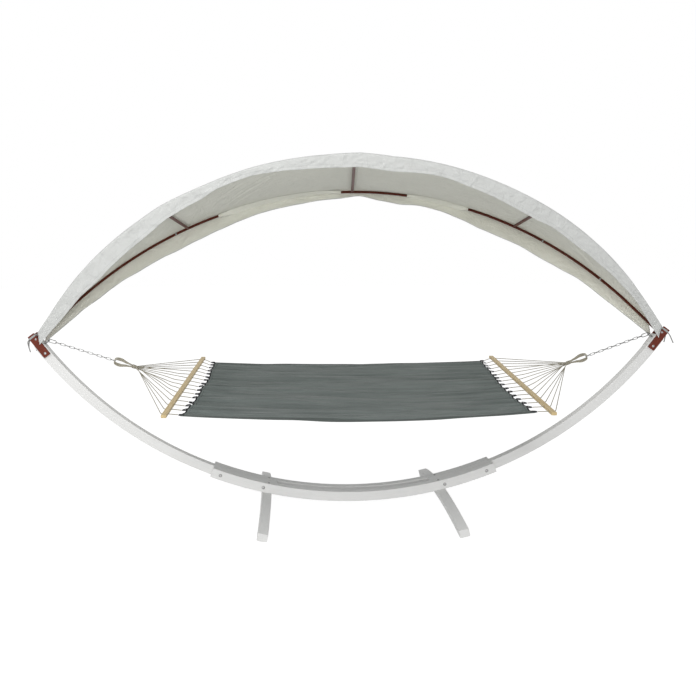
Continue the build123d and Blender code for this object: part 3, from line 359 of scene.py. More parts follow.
def cloth(name, pale, dark, thread=0.0012, hem_dark=0.0, hem=0.0, strength=0.3, sheen=0.2, shade=0.6,
          crumple=0.0, painted_fold_shade=0.0):
    """Woven cloth. The UV is in metres; a hem's stitches follow the distance to the edge. Optional long bands
    along the cloth are painted shade of its folds.
    """
    material, tree, shader, coordinates = start_material(name, 0.9, 0.0, 0.15)
    shader.inputs["Sheen Weight"].default_value = sheen
    shader.inputs["Sheen Roughness"].default_value = 0.5
    weave = use_group(tree, WEAVE, {"UV": coordinates.outputs["UV"], "Thread": thread})
    marks = use_group(tree, WEAR, {"Position": coordinates.outputs["Object"], "Amount": 0.5})
    value = plus(tree, times(tree, ramp(tree, weave.outputs["Slubs"], 0.3, 0.7), shade),
                  times(tree, marks.outputs["Blotches"], 0.35), True)
    # Broad lengthwise light and dark bands: painted shade of the cloth's folds
    if painted_fold_shade:
        stretched = add_node(tree, "ShaderNodeVectorMath",
                             {0: coordinates.outputs["UV"], 1: (1.3, 34.0, 1.0)},
                             operation="MULTIPLY").outputs[0]
        fold_shade_bands = noise_at(tree, stretched, 1.0, 3.0, 0.55, 0.5)
        value = plus(tree, value, ramp(tree, fold_shade_bands, 0.35, 0.65, -painted_fold_shade, painted_fold_shade), True)
    colour = blend_colours(tree, value, pale, dark)
    if hem:
        edge = add_node(tree, "ShaderNodeAttribute", attribute_name="hem_distance").outputs["Fac"]
        stitch = times(tree, maths(tree, "LESS_THAN",
                                   maths(tree, "ABSOLUTE", maths(tree, "SUBTRACT", edge, hem)), 0.0011),
                       hem_dark)
        colour = blend_colours(tree, stitch, colour, tuple(0.35 * c for c in dark[:3]) + (1.0,))
    tree.links.new(colour, shader.inputs["Base Color"])
    bump(tree, shader, weave.outputs["Height"], strength, 0.0005)
    if crumple:
        creases = noise_at(tree, coordinates.outputs["Object"], 15.0, 5.0, 0.62, 0.8)
        folds = add_node(tree, "ShaderNodeBump", {"Height": creases, "Strength": 1.0, "Distance": crumple})
        tree.links.new(folds.outputs[0], tree.nodes["Bump"].inputs["Normal"])
    return material


def twisted_rope(name, pale, dark, turns, lays):
    """Laid cord: strands wind round it, from the curve's own UV."""
    material, tree, shader, coordinates = start_material(name, 0.9, 0.0, 0.1)
    shader.inputs["Sheen Weight"].default_value = 0.25
    parts = add_node(tree, "ShaderNodeSeparateXYZ", {0: coordinates.outputs["UV"]})
    phase = plus(tree, times(tree, parts.outputs[0], turns * 2 * pi),
                 times(tree, parts.outputs[1], lays * 2 * pi))
    strand = ramp(tree, maths(tree, "SINE", phase), -1.0, 1.0)
    fibre = noise_at(tree, coordinates.outputs["Object"], 700.0, 3.0)
    value = plus(tree, times(tree, maths(tree, "SUBTRACT", 1.0, strand), 0.6), times(tree, fibre, 0.4), True)
    tree.links.new(blend_colours(tree, value, pale, dark), shader.inputs["Base Color"])
    bump(tree, shader, plus(tree, strand, times(tree, fibre, 0.4)), 0.5, 0.0006)
    return material


white_paint = wood("white_paint_on_wood", (0.76, 0.76, 0.75, 1), (0.62, 0.62, 0.60, 1), 0.5, ARC_CENTRE_Z,
                   -1.0, 2.47, strength=0.18, figure=0.28)
leg_paint = wood("white_paint_on_legs", (0.76, 0.76, 0.75, 1), (0.60, 0.60, 0.58, 1), 0.5, axis=(0, 1, 0),
                 strength=0.18, figure=0.28)
red_brown = wood("red_brown_stain", (0.17, 0.032, 0.016, 1), (0.085, 0.016, 0.009, 1), 0.42, specular=0.2,
                 strength=0.3, figure=0.7, axis=(0.59, 0, 0.8), stretch=60.0)
# The end plates' stain, made darker for the laths and crossbars: painted shade, since they lie in shadow
# under the cover
red_brown_bent_shaded = wood("red_brown_stain_bent_painted_shade", (0.125, 0.026, 0.014, 1), (0.055, 0.012, 0.007, 1), 0.45,
                      -0.126, 1.0, 2.317, specular=0.25, strength=0.3, figure=0.7, stretch=70.0)
pine = wood("clear_varnished_pine", (0.62, 0.49, 0.26, 1), (0.44, 0.31, 0.13, 1), 0.45,
            axis=tuple(BAR_ALONG), strength=0.25, figure=0.55, stretch=36.0)
zinc_plate = zinc("zinc_plate", (0.36, 0.36, 0.355, 1.0))
# The bed's cloth carries lengthwise bands of painted fold shade
bed_cloth = cloth("grey_green_canvas", (0.185, 0.212, 0.203, 1), (0.100, 0.118, 0.113, 1), 0.0016, 0.8,
                  0.02, strength=0.5, shade=0.75, painted_fold_shade=0.22)
canopy_cloth = cloth("off_white_canopy_cloth", (0.655, 0.665, 0.65, 1), (0.55, 0.56, 0.545, 1), 0.0014, 0.2,
                     0.018, strength=0.25, sheen=0.1, shade=0.35, crumple=0.016)
# The cover's inner side is the same cloth, made paler and warmer: painted light, standing in for light
# shining through the cloth
canopy_lining_painted_light = cloth("canopy_cloth_inner_side_painted_light", (0.84, 0.84, 0.76, 1), (0.74, 0.74, 0.665, 1), 0.0014,
                      0.15, 0.018, strength=0.25, sheen=0.1, shade=0.3, crumple=0.010)
tab_cloth = cloth("dark_edge_tape", (0.028, 0.03, 0.032, 1), (0.012, 0.013, 0.015, 1), 0.0012, strength=0.5)
strap_cloth = cloth("pale_grey_webbing", (0.42, 0.43, 0.42, 1), (0.28, 0.29, 0.29, 1), 0.001, strength=0.5)
bed_hem_cloth = cloth("grey_green_hem", (0.10, 0.115, 0.108, 1), (0.055, 0.065, 0.062, 1), 0.0016,
                      strength=0.5)
hem_cloth = cloth("off_white_hem", (0.655, 0.665, 0.65, 1), (0.55, 0.56, 0.545, 1), 0.0014, strength=0.25,
                  sheen=0.1, shade=0.3, crumple=0.014)
cream_rope = twisted_rope("cream_cotton_cord", (0.46, 0.43, 0.35, 1), (0.26, 0.24, 0.185, 1), 60.0, 1.0)
pale_cord = twisted_rope("pale_tie_cord", (0.32, 0.32, 0.31, 1), (0.20, 0.20, 0.195, 1), 12.0, 1.0)

FINISHES = {white_paint: ("rail_", "arm_"), leg_paint: ("leg_left", "leg_right"),
            red_brown: ("end_plate_",), red_brown_bent_shaded: ("canopy_lath_", "crossbar_left", "crossbar_centre",
                                                         "crossbar_right"), pine: ("spreader_bar_",),
            zinc_plate: ("splice_", "leg_bolts", "leg_washers", "leg_nuts", "plate_", "canopy_bolts",
                         "canopy_washers", "canopy_nuts", "eye_bolt", "snap_", "chain_", "crossbar_screws"),
            cream_rope: ("rope_eye_", "whipping_", "harness_cords_"), bed_cloth: ("hammock_bed",),
            canopy_cloth: ("canopy_top", "valance_"),
            strap_cloth: ("cover_ties", "tie_strap_", "tie_tails_"),}
for material, beginnings in FINISHES.items():
    for name, node in nodes.items():
        if name.startswith(beginnings):
            node.data.materials.clear()
            node.data.materials.append(material)


# Harness cords: each its own curve from the neck, through its hole, to its tab
def cord_place(index, pitch):
    return (index - (CORD_COUNT - 1) / 2) * pitch


def curve_piece(name, points, radius, material, order=3, radii=None, resolution=12):
    """A round cord along a smooth line that the points steer."""
    data = bpy.data.curves.new(name, "CURVE")
    data.dimensions = "3D"
    data.bevel_depth = radius
    data.bevel_resolution = 3
    data.use_fill_caps = True
    data.resolution_u = resolution
    spline = data.splines.new("NURBS")
    spline.points.add(len(points) - 1)
    for point, place in zip(spline.points, points):
        point.co = (*place, 1.0)
    if radii:
        for point, share in zip(spline.points, radii):
            point.radius = share
    spline.order_u = order
    spline.use_endpoint_u = True
    data.materials.append(material)
    obj = bpy.data.objects.new(name, data)
    bpy.context.collection.objects.link(obj)
    return obj


def cord_start(index, side):
    from_edge = min(index, CORD_COUNT - 1 - index)
    column, row = divmod(from_edge, 4)
    y = (0.0089, 0.0023)[column] * (-1 if index < CORD_COUNT / 2 else 1)
    return on_pull(NECK_S + NECK_LENGTH + 0.0026, (0.0066, 0.0022, -0.0022, -0.0066)[row], y, side)


def end_inset(across, side):
    """How far the bed's end is drawn in behind its corners, at a place across it."""
    t = across / TABS_HALF_WIDTH
    bow = 0.021 if side < 0 else 0.015
    dip = 0.0 if side < 0 else 0.011 * max(0.0, 1 - ((t + 0.25) / 0.5) ** 2)
    uneven = 0.0035 * sin(9.0 * t + side) * (1 - t * t)
    return max(0.0, bow * (1 - t * t) + dip + uneven)


def cord_end(index, side):
    across = cord_place(index, BED_TAB_PITCH)
    return Vector((side * (BED_HALF_LENGTH + 0.0012 - end_inset(across, side)), 0.0,
                   BED_END_Z[side])) + BAR_ALONG * across - BAR_UP * 0.002


# A few cords of each harness hang slack: their lift beside the bar and half way
SLACK = {-1: {5: (-0.007, 0.002), 6: (-0.009, 0.004), 7: (-0.008, -0.004), 8: (-0.007, 0.003),
              10: (-0.005, 0.002)}, 1: {6: (-0.004, 0.002), 9: (-0.003, 0.001)}}
for word, side in SIDES.items():
    for index in range(CORD_COUNT):
        hole = bar_middle(side) + BAR_ALONG * cord_place(index, BAR_HOLE_PITCH)
        before = hole + Vector((side * (BAR_WIDTH / 2 + 0.009), 0, 0))
        past = hole - Vector((side * (BAR_WIDTH / 2 + 0.006), 0, 0))
        start, end = cord_start(index, side), cord_end(index, side)
        run = before - start
        near = before - run.normalized() * 0.024
        points = [start, near, before, past, end]
        low, mid = SLACK[side].get(index, (0.0, 0.0))
        if low:
            points = [start, start + run * 0.55 + Vector((0, 0, mid)),
                      start + run * 0.8 + Vector((0, 0, low)), near, before, past, end]
        shares = [0.8] + [1.0] * (len(points) - 1)
        cord = curve_piece(f"harness_cord_{word}_{index + 1}", points, CORD_R, cream_rope, radii=shares)
        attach(cord, "hammock")
        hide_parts(f"harness_cords_{word}")


# Rope eyes: eight cords a side run through the neck, round the chain's last link and back
def rope_eye(word, side):
    loops = []
    for sign in (-1, 1):
        for depth, (column, row) in enumerate(((0.0089, 0.0066), (0.0023, 0.0066), (0.0089, 0.0022),
                                               (0.0023, 0.0022))):
            bulge = 0.0250 - 0.0048 * depth
            tip = ROPE_TIP_S + (depth - 1.5) * 0.0014
            y = sign * column
            half = [(NECK_S + NECK_LENGTH + 0.0020, row, y), (NECK_S + 0.022, 0.74 * row, 0.74 * y),
                    (NECK_S + 0.008, 0.72 * row, 0.74 * y), (NECK_S - 0.012, 0.0035 + 0.9 * row, 0.6 * y),
                    (NECK_S - 0.040, 0.42 * bulge + 0.6 * row, 0.45 * y + sign * 0.0012),
                    (ROPE_TIP_S + 0.046 + 0.002 * depth, 1.0 * bulge, 0.3 * y + sign * 0.0016),
                    (ROPE_TIP_S + 0.022 + 0.004 * depth, 1.06 * bulge, sign * 0.0024),
                    (tip + 0.002, 0.80 * bulge, sign * 0.0018), (tip, 0.30 * bulge, sign * 0.0014)]
            points = [on_pull(s, lift, at, side) for s, lift, at in half]
            points += [on_pull(s, -lift, at, side) for s, lift, at in reversed(half)]
            shares = [0.8, 0.64, 0.64, 0.8, 1.0, 1.0, 0.92, 0.6, 0.54, 0.54, 0.6, 0.92, 1.0, 1.0, 0.8, 0.64,
                      0.64, 0.8]
            loops.append(curve_piece(f"rope_eye_cord_{word}_{len(loops) + 1}", points, CORD_R, cream_rope,
                                     radii=shares, resolution=8))
    deselect()
    for loop in loops:
        loop.select_set(True)
    bpy.context.view_layer.objects.active = loops[0]
    bpy.ops.object.convert(target="MESH")
    bpy.ops.object.join()
    eye = bpy.context.active_object
    eye.name = f"rope_eye_bundle_{word}"
    smooth(eye)
    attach(eye, "hammock")
    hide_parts(f"rope_eye_{word}")
    start = NECK_S + (NECK_LENGTH - WHIPPING_TURNS * WHIPPING_PITCH) / 2
    winding = []
    for k in range(WHIPPING_TURNS * WHIPPING_STEPS + 1):
        turn = 2 * pi * k / WHIPPING_STEPS
        winding.append(on_pull(start + WHIPPING_PITCH * k / WHIPPING_STEPS, WHIPPING_R * cos(turn),
                               WHIPPING_R * sin(turn), side))
    whipping = curve_piece(f"whipping_cord_{word}", winding, 0.00125, cream_rope, resolution=3)
    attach(whipping, "hammock")
    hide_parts(f"whipping_{word}")


for word, side in SIDES.items():
    rope_eye(word, side)


# Bed: a woven sheet that hangs in lengthwise folds between its tabs
def bed_level(reach):
    middle = (BED_END_Z[1] + BED_END_Z[-1]) / 2
    return middle + (BED_END_Z[1] - BED_END_Z[-1]) / 2 * reach - BED_SAG * (1 - reach * reach)


BED_HALF_WIDTH = TABS_HALF_WIDTH + BED_HEM


def bed_end(across, side):
    """Half the bed's length at a place across it: scallops between the tabs."""
    place = abs((across / BED_TAB_PITCH - 0.5) % 1.0 - 0.5)
    beyond = abs(across) > TABS_HALF_WIDTH
    return BED_CLOTH_HALF - end_inset(across, side) - (0.0 if beyond else 0.015 * (1 - (1 - 2 * place) ** 2))


def bed_place(share, across):
    """A point of the bed: share runs from -1 to 1 along it."""
    x = share * bed_end(across, 1 if share > 0 else -1)
    reach = x / BED_HALF_LENGTH
    place = across / BED_TAB_PITCH - 0.5
    fold = (0.5 - 0.5 * cos(2 * pi * place)) if abs(across) < TABS_HALF_WIDTH else 0.0
    near_end = ease((abs(share) - 0.35) / 0.65)
    own = noise.noise(Vector((round(place) * 3.7, 2.0 if share > 0 else 8.0, 1.0)))
    drop = (0.0125 + 0.006 * own) * fold * near_end
    wander = 0.045 * sin(1.7 * x + 3.0 * across) + 0.024 * sin(4.1 * x - 7.0 * across)
    folds = noise.noise(Vector((0.7 * x, 10.0 * (across + wander), 4.0))) * 0.0210
    folds += noise.noise(Vector((1.3 * x, 23.0 * (across + wander), 9.0))) * 0.0115
    folds += noise.noise(Vector((2.4 * x, 52.0 * (across + wander * 0.5), 5.0))) * 0.0038
    folds += noise.noise(Vector((7.0 * x, 60.0 * across, 2.0))) * 0.0010
    folds *= 1 - 0.35 * near_end - 0.45 * ease((abs(across) - BED_HALF_WIDTH + 0.05) / 0.05)
    folds += 0.0022 * cos(4 * pi * place) * near_end * near_end
    lean = 0.011 * across / BED_HALF_WIDTH * (1 - share * share)
    curl = -0.004 * ease((abs(across) - BED_HALF_WIDTH + 0.03) / 0.03)
    level = Vector((x, 0.0, bed_level(reach) - 0.002))
    return level + BAR_ALONG * across + BAR_UP * (folds - drop + curl) + Vector((0, 0, lean))


def make_bed():
    obj, places = grid("bed_cloth", 150, 256)
    flat, hems = [], []
    for vertex, (along, over) in zip(obj.data.vertices, places):
        share, across = 2 * along - 1, (2 * over - 1) * BED_HALF_WIDTH
        vertex.co = bed_place(share, across)
        flat.append((share * BED_CLOTH_HALF, across))
        hems.append(min(BED_HALF_WIDTH - abs(across), BED_CLOTH_HALF * (1 - abs(share))))
    uv_from(obj, flat)
    layer = obj.data.attributes.new("hem_distance", "FLOAT", "POINT")
    for vertex, value in zip(layer.data, hems):
        vertex.value = value
    solid = obj.modifiers.new("cloth thickness", "SOLIDIFY")
    solid.thickness = 0.0018
    solid.offset = 0.0
    apply_modifiers(obj)
    smooth(obj)
    obj.data.materials.append(bed_cloth)
    return obj


def strip(name, rows, material, thickness=0.0, closed=False):
    """A band of cloth from rows of points; each row has the same count."""
    mesh = bpy.data.meshes.new(name)
    shape = bmesh.new()
    made = [[shape.verts.new(p) for p in row] for row in rows]
    layer = shape.loops.layers.uv.new("UVMap")
    pairs = list(zip(made, made[1:])) + ([(made[-1], made[0])] if closed else [])
    for i, (near, far) in enumerate(pairs):
        for j in range(len(near) - 1):
            face = shape.faces.new((near[j], near[j + 1], far[j + 1], far[j]))
            for loop, uv in zip(face.loops, ((i, j), (i, j + 1), (i + 1, j + 1), (i + 1, j))):
                loop[layer].uv = (uv[0] * 0.004, uv[1] * 0.003)
    shape.normal_update()
    bmesh.ops.recalc_face_normals(shape, faces=shape.faces)
    shape.to_mesh(mesh)
    shape.free()
    obj = bpy.data.objects.new(name, mesh)
    bpy.context.collection.objects.link(obj)
    if thickness:
        solid = obj.modifiers.new("cloth thickness", "SOLIDIFY")
        solid.thickness = thickness
        solid.offset = 0.0
        apply_modifiers(obj)
    smooth(obj, 40)
    mesh.materials.append(material)
    return obj


def bed_end_tape(word, side):
    """Dark tape sewn over the scalloped end, with a folded tab at each cord."""
    rows = []
    count = 15 * 12
    for k in range(count + 1):
        across = -TABS_HALF_WIDTH - TAPE_OVERHANG + 2 * (TABS_HALF_WIDTH + TAPE_OVERHANG) * k / count
        row = []
        for inset, lift in ((0.007, 0.0016), (0.0, 0.0026), (-0.0022, 0.0), (0.0, -0.0026), (0.007, -0.0016)):
            base = bed_place(side * (1 - inset / BED_CLOTH_HALF), across)
            row.append(base + BAR_UP * lift)
        rows.append(row)
    tape = strip(f"bed_end_tape_{word}", rows, tab_cloth, 0.0006)
    tabs = []
    for index in range(CORD_COUNT):
        middle = cord_place(index, BED_TAB_PITCH)
        rows = []
        base = bed_place(side * 0.9975, middle)
        tip = cord_end(index, side)
        for turn in range(9):
            angle = pi * turn / 8
            out = sin(angle)
            centre = base.lerp(tip, 0.86 * min(1.0, out * 1.08) if turn not in (0, 8) else 0.0)
            lift = 0.0042 * cos(angle) * (1.0 - 0.15 * out)
            rows.append([centre + BAR_UP * lift + BAR_ALONG * w for w in (-0.0068, -0.0035, 0.0, 0.0035,
                                                                          0.0068)])
        tabs.append(strip(f"bed_tab_{word}_{index + 1}", rows, tab_cloth, 0.0018))
    deselect()
    for piece in [tape] + tabs:
        piece.select_set(True)
    bpy.context.view_layer.objects.active = tape
    bpy.ops.object.join()
    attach(tape, "hammock")
    return tape


def bed_side_hem(word, edge):
    """A long hem, folded over the bed's side edge."""
    rows = []
    for k in range(161):
        share = -1 + 2 * k / 160
        row = []
        for inset, lift in ((0.016, 0.0016), (0.003, 0.0021), (-0.0012, 0.0), (0.003, -0.0021),
                            (0.016, -0.0016)):
            row.append(bed_place(share, edge * (BED_HALF_WIDTH - inset)) + BAR_UP * lift)
        rows.append(row)
    hem = strip(f"bed_side_hem_{word}", rows, bed_hem_cloth, 0.0006)
    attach(hem, "hammock")
    return hem


bed = make_bed()
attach(bed, "hammock")
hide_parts("hammock_bed")
bed_trim = [bed_end_tape(word, side) for word, side in SIDES.items()] + [bed_side_hem("front", -1),
                                                                         bed_side_hem("rear", 1)]


# Canopy laths' lines, which the cover follows
class LathLine:
    def __init__(self, facing, tilt, start_y, apex_z):
        self.facing, self.tilt, self.start_y = facing, tilt, facing * start_y
        self.rise = (apex_z - CANOPY_BOLT.z) / cos(tilt)
        slope = tan(LATH_BEND)
        self.bend_r = (CANOPY_BOLT.x * slope - self.rise) / (slope * sin(LATH_BEND) - 1 + cos(LATH_BEND))
        self.twist = facing * sin(tilt) * tan(CANOPY_TWIST)
        apex = self.at(0.0)
        out = 0.010 / cos(tilt)
        self.lean = atan((abs(apex.y) + out - COVER_TIP_Y) / (apex.z - COVER_TIP_Z))

    def at(self, angle, offset=0.0, run=0.0):
        side = 1 if angle >= 0 else -1
        x = (self.bend_r + offset) * sin(angle) + side * run * cos(angle)
        up = self.rise - self.bend_r + (self.bend_r + offset) * cos(angle) - run * abs(sin(angle))
        return Vector((x + self.twist * up, self.start_y + self.facing * sin(self.tilt) * up,
                       CANOPY_BOLT.z + cos(self.tilt) * up))

    def on_side(self, x, z):
        """A point of the cover's side plane, just outside the lath."""
        return Vector((x, self.facing * (COVER_TIP_Y + (z - COVER_TIP_Z) * tan(self.lean)), z))

    def edge(self, place, offset):
        """The cover's edge: place runs from -1 to 1, the last part of each side along the straight end."""
        bent = min(1.0, abs(place) / BENT_SHARE)
        side = 1 if place >= 0 else -1
        run = 0.0
        if abs(place) > BENT_SHARE:
            whole = (self.at(LATH_BEND, offset).z - COVER_END_TOP_Z) / (sin(LATH_BEND) * cos(self.tilt))
            run = whole * (abs(place) - BENT_SHARE) / (1 - BENT_SHARE)
        point = self.at(side * bent * LATH_BEND, offset, run)
        return self.on_side(point.x, point.z)


BENT_SHARE = 0.93
front_line = LathLine(-1, 0.3066, 0.0123, 2.191)
rear_line = LathLine(1, 0.4946, 0.0090, 2.089)
# The cover's outer edge above the lath, and the side strips' depth below that edge, by the angle in degrees
RISE = [(-60, 0.009), (-50, 0.009), (-33, 0.010), (-29, 0.0155), (-22, 0.010), (-14, 0.0155), (-4, 0.0155),
        (0.7, 0.0205), (5.5, 0.010), (12, 0.0115), (21, 0.0088), (32, 0.0088), (40, 0.010), (50, 0.012),
        (54, 0.0165), (58, 0.015)]
FRONT_DEPTH = [(-58.4, 0.055), (-54.6, 0.072), (-49, 0.084), (-44.5, 0.102), (-39.9, 0.099), (-34.7, 0.095),
               (-28.5, 0.076), (-24, 0.066), (-20.2, 0.043), (-15.3, 0.038), (-10.5, 0.051), (-7.9, 0.062),
               (-0.4, 0.074), (5, 0.079), (12.4, 0.064), (19, 0.080), (26, 0.093), (28.5, 0.094),
               (32.3, 0.082), (36.4, 0.085), (41.2, 0.077), (46.3, 0.062), (49.7, 0.052), (53, 0.046)]
REAR_DEPTH = [(-55.2, 0.071), (-51.1, 0.074), (-47.3, 0.093), (-43.2, 0.097), (-39.5, 0.114),
              (-35.6, 0.119), (-31.9, 0.131), (-28, 0.130), (-24.1, 0.117), (-20.3, 0.102), (-16.6, 0.091),
              (-13, 0.087), (-9.3, 0.082), (-5.7, 0.071), (-2.1, 0.067), (1.4, 0.050), (5, 0.073),
              (8.7, 0.088), (12.2, 0.075), (15.9, 0.081), (19.8, 0.101), (23.8, 0.125), (27.6, 0.128),
              (31.5, 0.124), (35.7, 0.131), (39.7, 0.121), (43.5, 0.101), (47.8, 0.098), (52.1, 0.085)]
# How softly those pairs are joined, and how far the outer edge is lowered from them
RISE_SOFTNESS, DEPTH_SOFTNESS = 0.25, 0.6
COVER_LOWERED = 0.0025
# Wrinkles of the top sheet: two ends by place and share across, height and width
WRINKLES = [((-0.36, 0.62), (-0.23, 0.30), 0.0127, 0.013), ((-0.345, 0.50), (-0.235, 0.22), 0.0110, 0.010),
            ((-0.355, 0.74), (-0.27, 0.52), 0.0102, 0.011), ((-0.30, 0.38), (-0.19, 0.16), 0.0085, 0.011),
            ((-0.36, 0.36), (-0.30, 0.22), 0.0076, 0.010), ((-0.13, 0.80), (-0.06, 0.60), 0.0068, 0.010),
            ((-0.11, 0.88), (-0.03, 0.74), 0.0076, 0.009), ((-0.09, 0.72), (-0.02, 0.55), 0.0059, 0.009),
            ((0.03, 0.60), (0.06, 0.95), 0.0051, 0.011), ((0.28, 0.30), (0.42, 0.14), 0.0068, 0.016),
            ((0.44, 0.80), (0.58, 0.55), 0.0068, 0.016), ((-0.66, 0.30), (-0.50, 0.60), 0.0068, 0.016),
            ((-0.62, 0.55), (-0.50, 0.78), 0.0059, 0.014), ((0.12, 0.30), (0.24, 0.12), 0.0051, 0.014),
            ((0.62, 0.30), (0.76, 0.60), 0.0059, 0.016)]


def wrinkle(place, share, width):
    """The height of all wrinkles at a point of the top sheet."""
    total = 0.0
    here = Vector((place * COVER_HALF_RUN, share * width))
    for one, two, height, spread in WRINKLES:
        a = Vector((one[0] * COVER_HALF_RUN, one[1] * width))
        b = Vector((two[0] * COVER_HALF_RUN, two[1] * width))
        along = min(1.0, max(0.0, (here - a).dot(b - a) / (b - a).length_squared))
        away = (here - a.lerp(b, along)).length
        fade = max(0.0, 1 - (away / (2.2 * spread)) ** 2) ** 2
        total += height * sin(pi * (0.12 + 0.76 * along)) * fade * cos(away / spread * 1.6)
    return total


def outer_edge(degrees):
    """How far the cover's outer edge stands above the lath's line."""
    return through(RISE, degrees, RISE_SOFTNESS) - COVER_LOWERED


def lower_edge(line, place, depths):
    """The side strip's lower edge: below the outer edge on the bend, then to the end's tip."""
    side = 1 if place >= 0 else -1
    bent = min(1.0, abs(place) / BENT_SHARE)
    angle = side * bent * LATH_BEND
    degrees = angle * 180 / pi
    point = line.at(angle, outer_edge(degrees) - through(depths, degrees, DEPTH_SOFTNESS))
    low = line.on_side(point.x, point.z)
    if abs(place) > BENT_SHARE:
        low = low.lerp(line.on_side(side * COVER_TIP_X, COVER_TIP_Z),
                       (abs(place) - BENT_SHARE) / (1 - BENT_SHARE))
    return low


STRIP_ROWS, TOP_ROWS = 12, 78
# Where the cover's columns lie: closer together where it is wrinkled
COLUMN_PLACES = [(0.0, -1.0), (0.26, -0.39), (0.62, 0.02), (1.0, 1.0)]


def cover_column(place, top_rows=TOP_ROWS):
    """The cover's section at one place: up the front strip, over the top and down the rear strip."""
    angle = place / BENT_SHARE * LATH_BEND_DEGREES
    offset = outer_edge(angle)
    tops = [line.edge(place, offset) for line in (front_line, rear_line)]
    lows = [lower_edge(line, place, depths) for line,
            depths in ((front_line, FRONT_DEPTH), (rear_line, REAR_DEPTH))]
    width = (tops[1] - tops[0]).length
    outward = (front_line.at(radians(angle * 0.9), 1.0) - front_line.at(radians(angle * 0.9),
                                                                        0.0)).normalized()
    column = []
    for row in range(STRIP_ROWS):
        share = row / STRIP_ROWS
        pucker = noise.noise(Vector((place * 24 + share * 1.4, share * 1.2,
                                     1.0))) * 0.0042 * (1 - share) ** 0.6
        pucker += noise.noise(Vector((place * 62 - share * 4.0, share * 2.5, 6.0))) * 0.0030
        column.append(lows[0].lerp(tops[0], share) + Vector((0, pucker - 0.0015, 0)))
    for row in range(top_rows + 1):
        share = row / top_rows
        body = sin(pi * share)
        from_crossbar = min(abs(abs(place) - CROSSBAR_PLACE), abs(place)) * COVER_HALF_RUN
        held = max(0.0, 1 - from_crossbar / CROSSBAR_REACH)
        sag = -0.012 * body ** 0.7 * ease(width / 0.5)
        ripple = noise.noise(Vector((place * 9, share * width * 5,
                                     3.0))) * 0.0075 + noise.noise(Vector((place * 40, share * width * 16,
                                                                           8.0))) * 0.0022
        height = sag + (ripple + wrinkle(place, share, width)) * min(1.0, 3 * body)
        height = height * (1 - ease(held)) + max(height, 0.0015) * ease(held)
        from_edge = min(share, 1 - share) * width
        reach = 0.016 + 0.024 * place * place
        on_lath = 1 - ease((from_edge - reach) / 0.045)
        height = height * (1 - on_lath) + max(height, 0.0095 * ease(from_edge / (0.75 * reach))) * on_lath
        column.append(tops[0].lerp(tops[1], share) + outward * height)
    for row in range(STRIP_ROWS):
        share = (row + 1) / STRIP_ROWS
        pucker = noise.noise(Vector((place * 21 - share * 1.6, share * 1.3, 12.0))) * 0.0046 * share ** 0.6
        pucker += noise.noise(Vector((place * 58 + share * 4.0, share * 2.5, 15.0))) * 0.0030
        column.append(tops[1].lerp(lows[1], share) + Vector((0, pucker + 0.0015, 0)))
    return column


def make_cover():
    columns, rows = 420, 2 * STRIP_ROWS + TOP_ROWS
    obj, places = grid("canopy_cover", columns, rows)
    along_cover = [through(COLUMN_PLACES, k / columns, 0.0) for k in range(columns + 1)]
    sections = [cover_column(place) for place in along_cover]
    runs = []
    for section in sections:
        run = [0.0]
        for a, b in zip(section, section[1:]):
            run.append(run[-1] + (b - a).length)
        runs.append(run)
    flat, hems = [], []
    for vertex, (along, over) in zip(obj.data.vertices, places):
        i, j = round(along * columns), round(over * rows)
        vertex.co = sections[i][j]
        flat.append((along_cover[i] * COVER_HALF_RUN, runs[i][j] - runs[i][-1] / 2))
        hems.append(min(runs[i][j], runs[i][-1] - runs[i][j], (1 - abs(along_cover[i])) * COVER_HALF_RUN))
    uv_from(obj, flat)
    layer = obj.data.attributes.new("hem_distance", "FLOAT", "POINT")
    for vertex, value in zip(layer.data, hems):
        vertex.value = value
    solid = obj.modifiers.new("cloth thickness", "SOLIDIFY")
    solid.thickness = 0.0012
    solid.offset = 0.0
    # The back faces take the inner-side cloth, whose paler colour is painted light
    solid.material_offset = 1
    obj.data.materials.append(canopy_cloth)
    obj.data.materials.append(canopy_lining_painted_light)
    apply_modifiers(obj)
    smooth(obj)
    return obj


def lower_hem(word, line):
    """The folded hem along a side strip's lower edge."""
    rows = []
    for k in range(241):
        column = cover_column(-1 + 2 * k / 240, 2)
        edge, inner = (column[0], column[3]) if line is front_line else (column[-1], column[-4])
        up = (inner - edge).normalized()
        out = Vector((0, line.facing, 0))
        rows.append([edge + up * rise + out * push for rise,
                     push in ((0.006, 0.0007), (0.0015, 0.0011), (-0.0006, 0.0), (0.0015, -0.0011),
                              (0.006, -0.0007))])
    hem = strip(f"canopy_hem_{word}", rows, hem_cloth, 0.0005)
    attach(hem, "stand")
    return hem


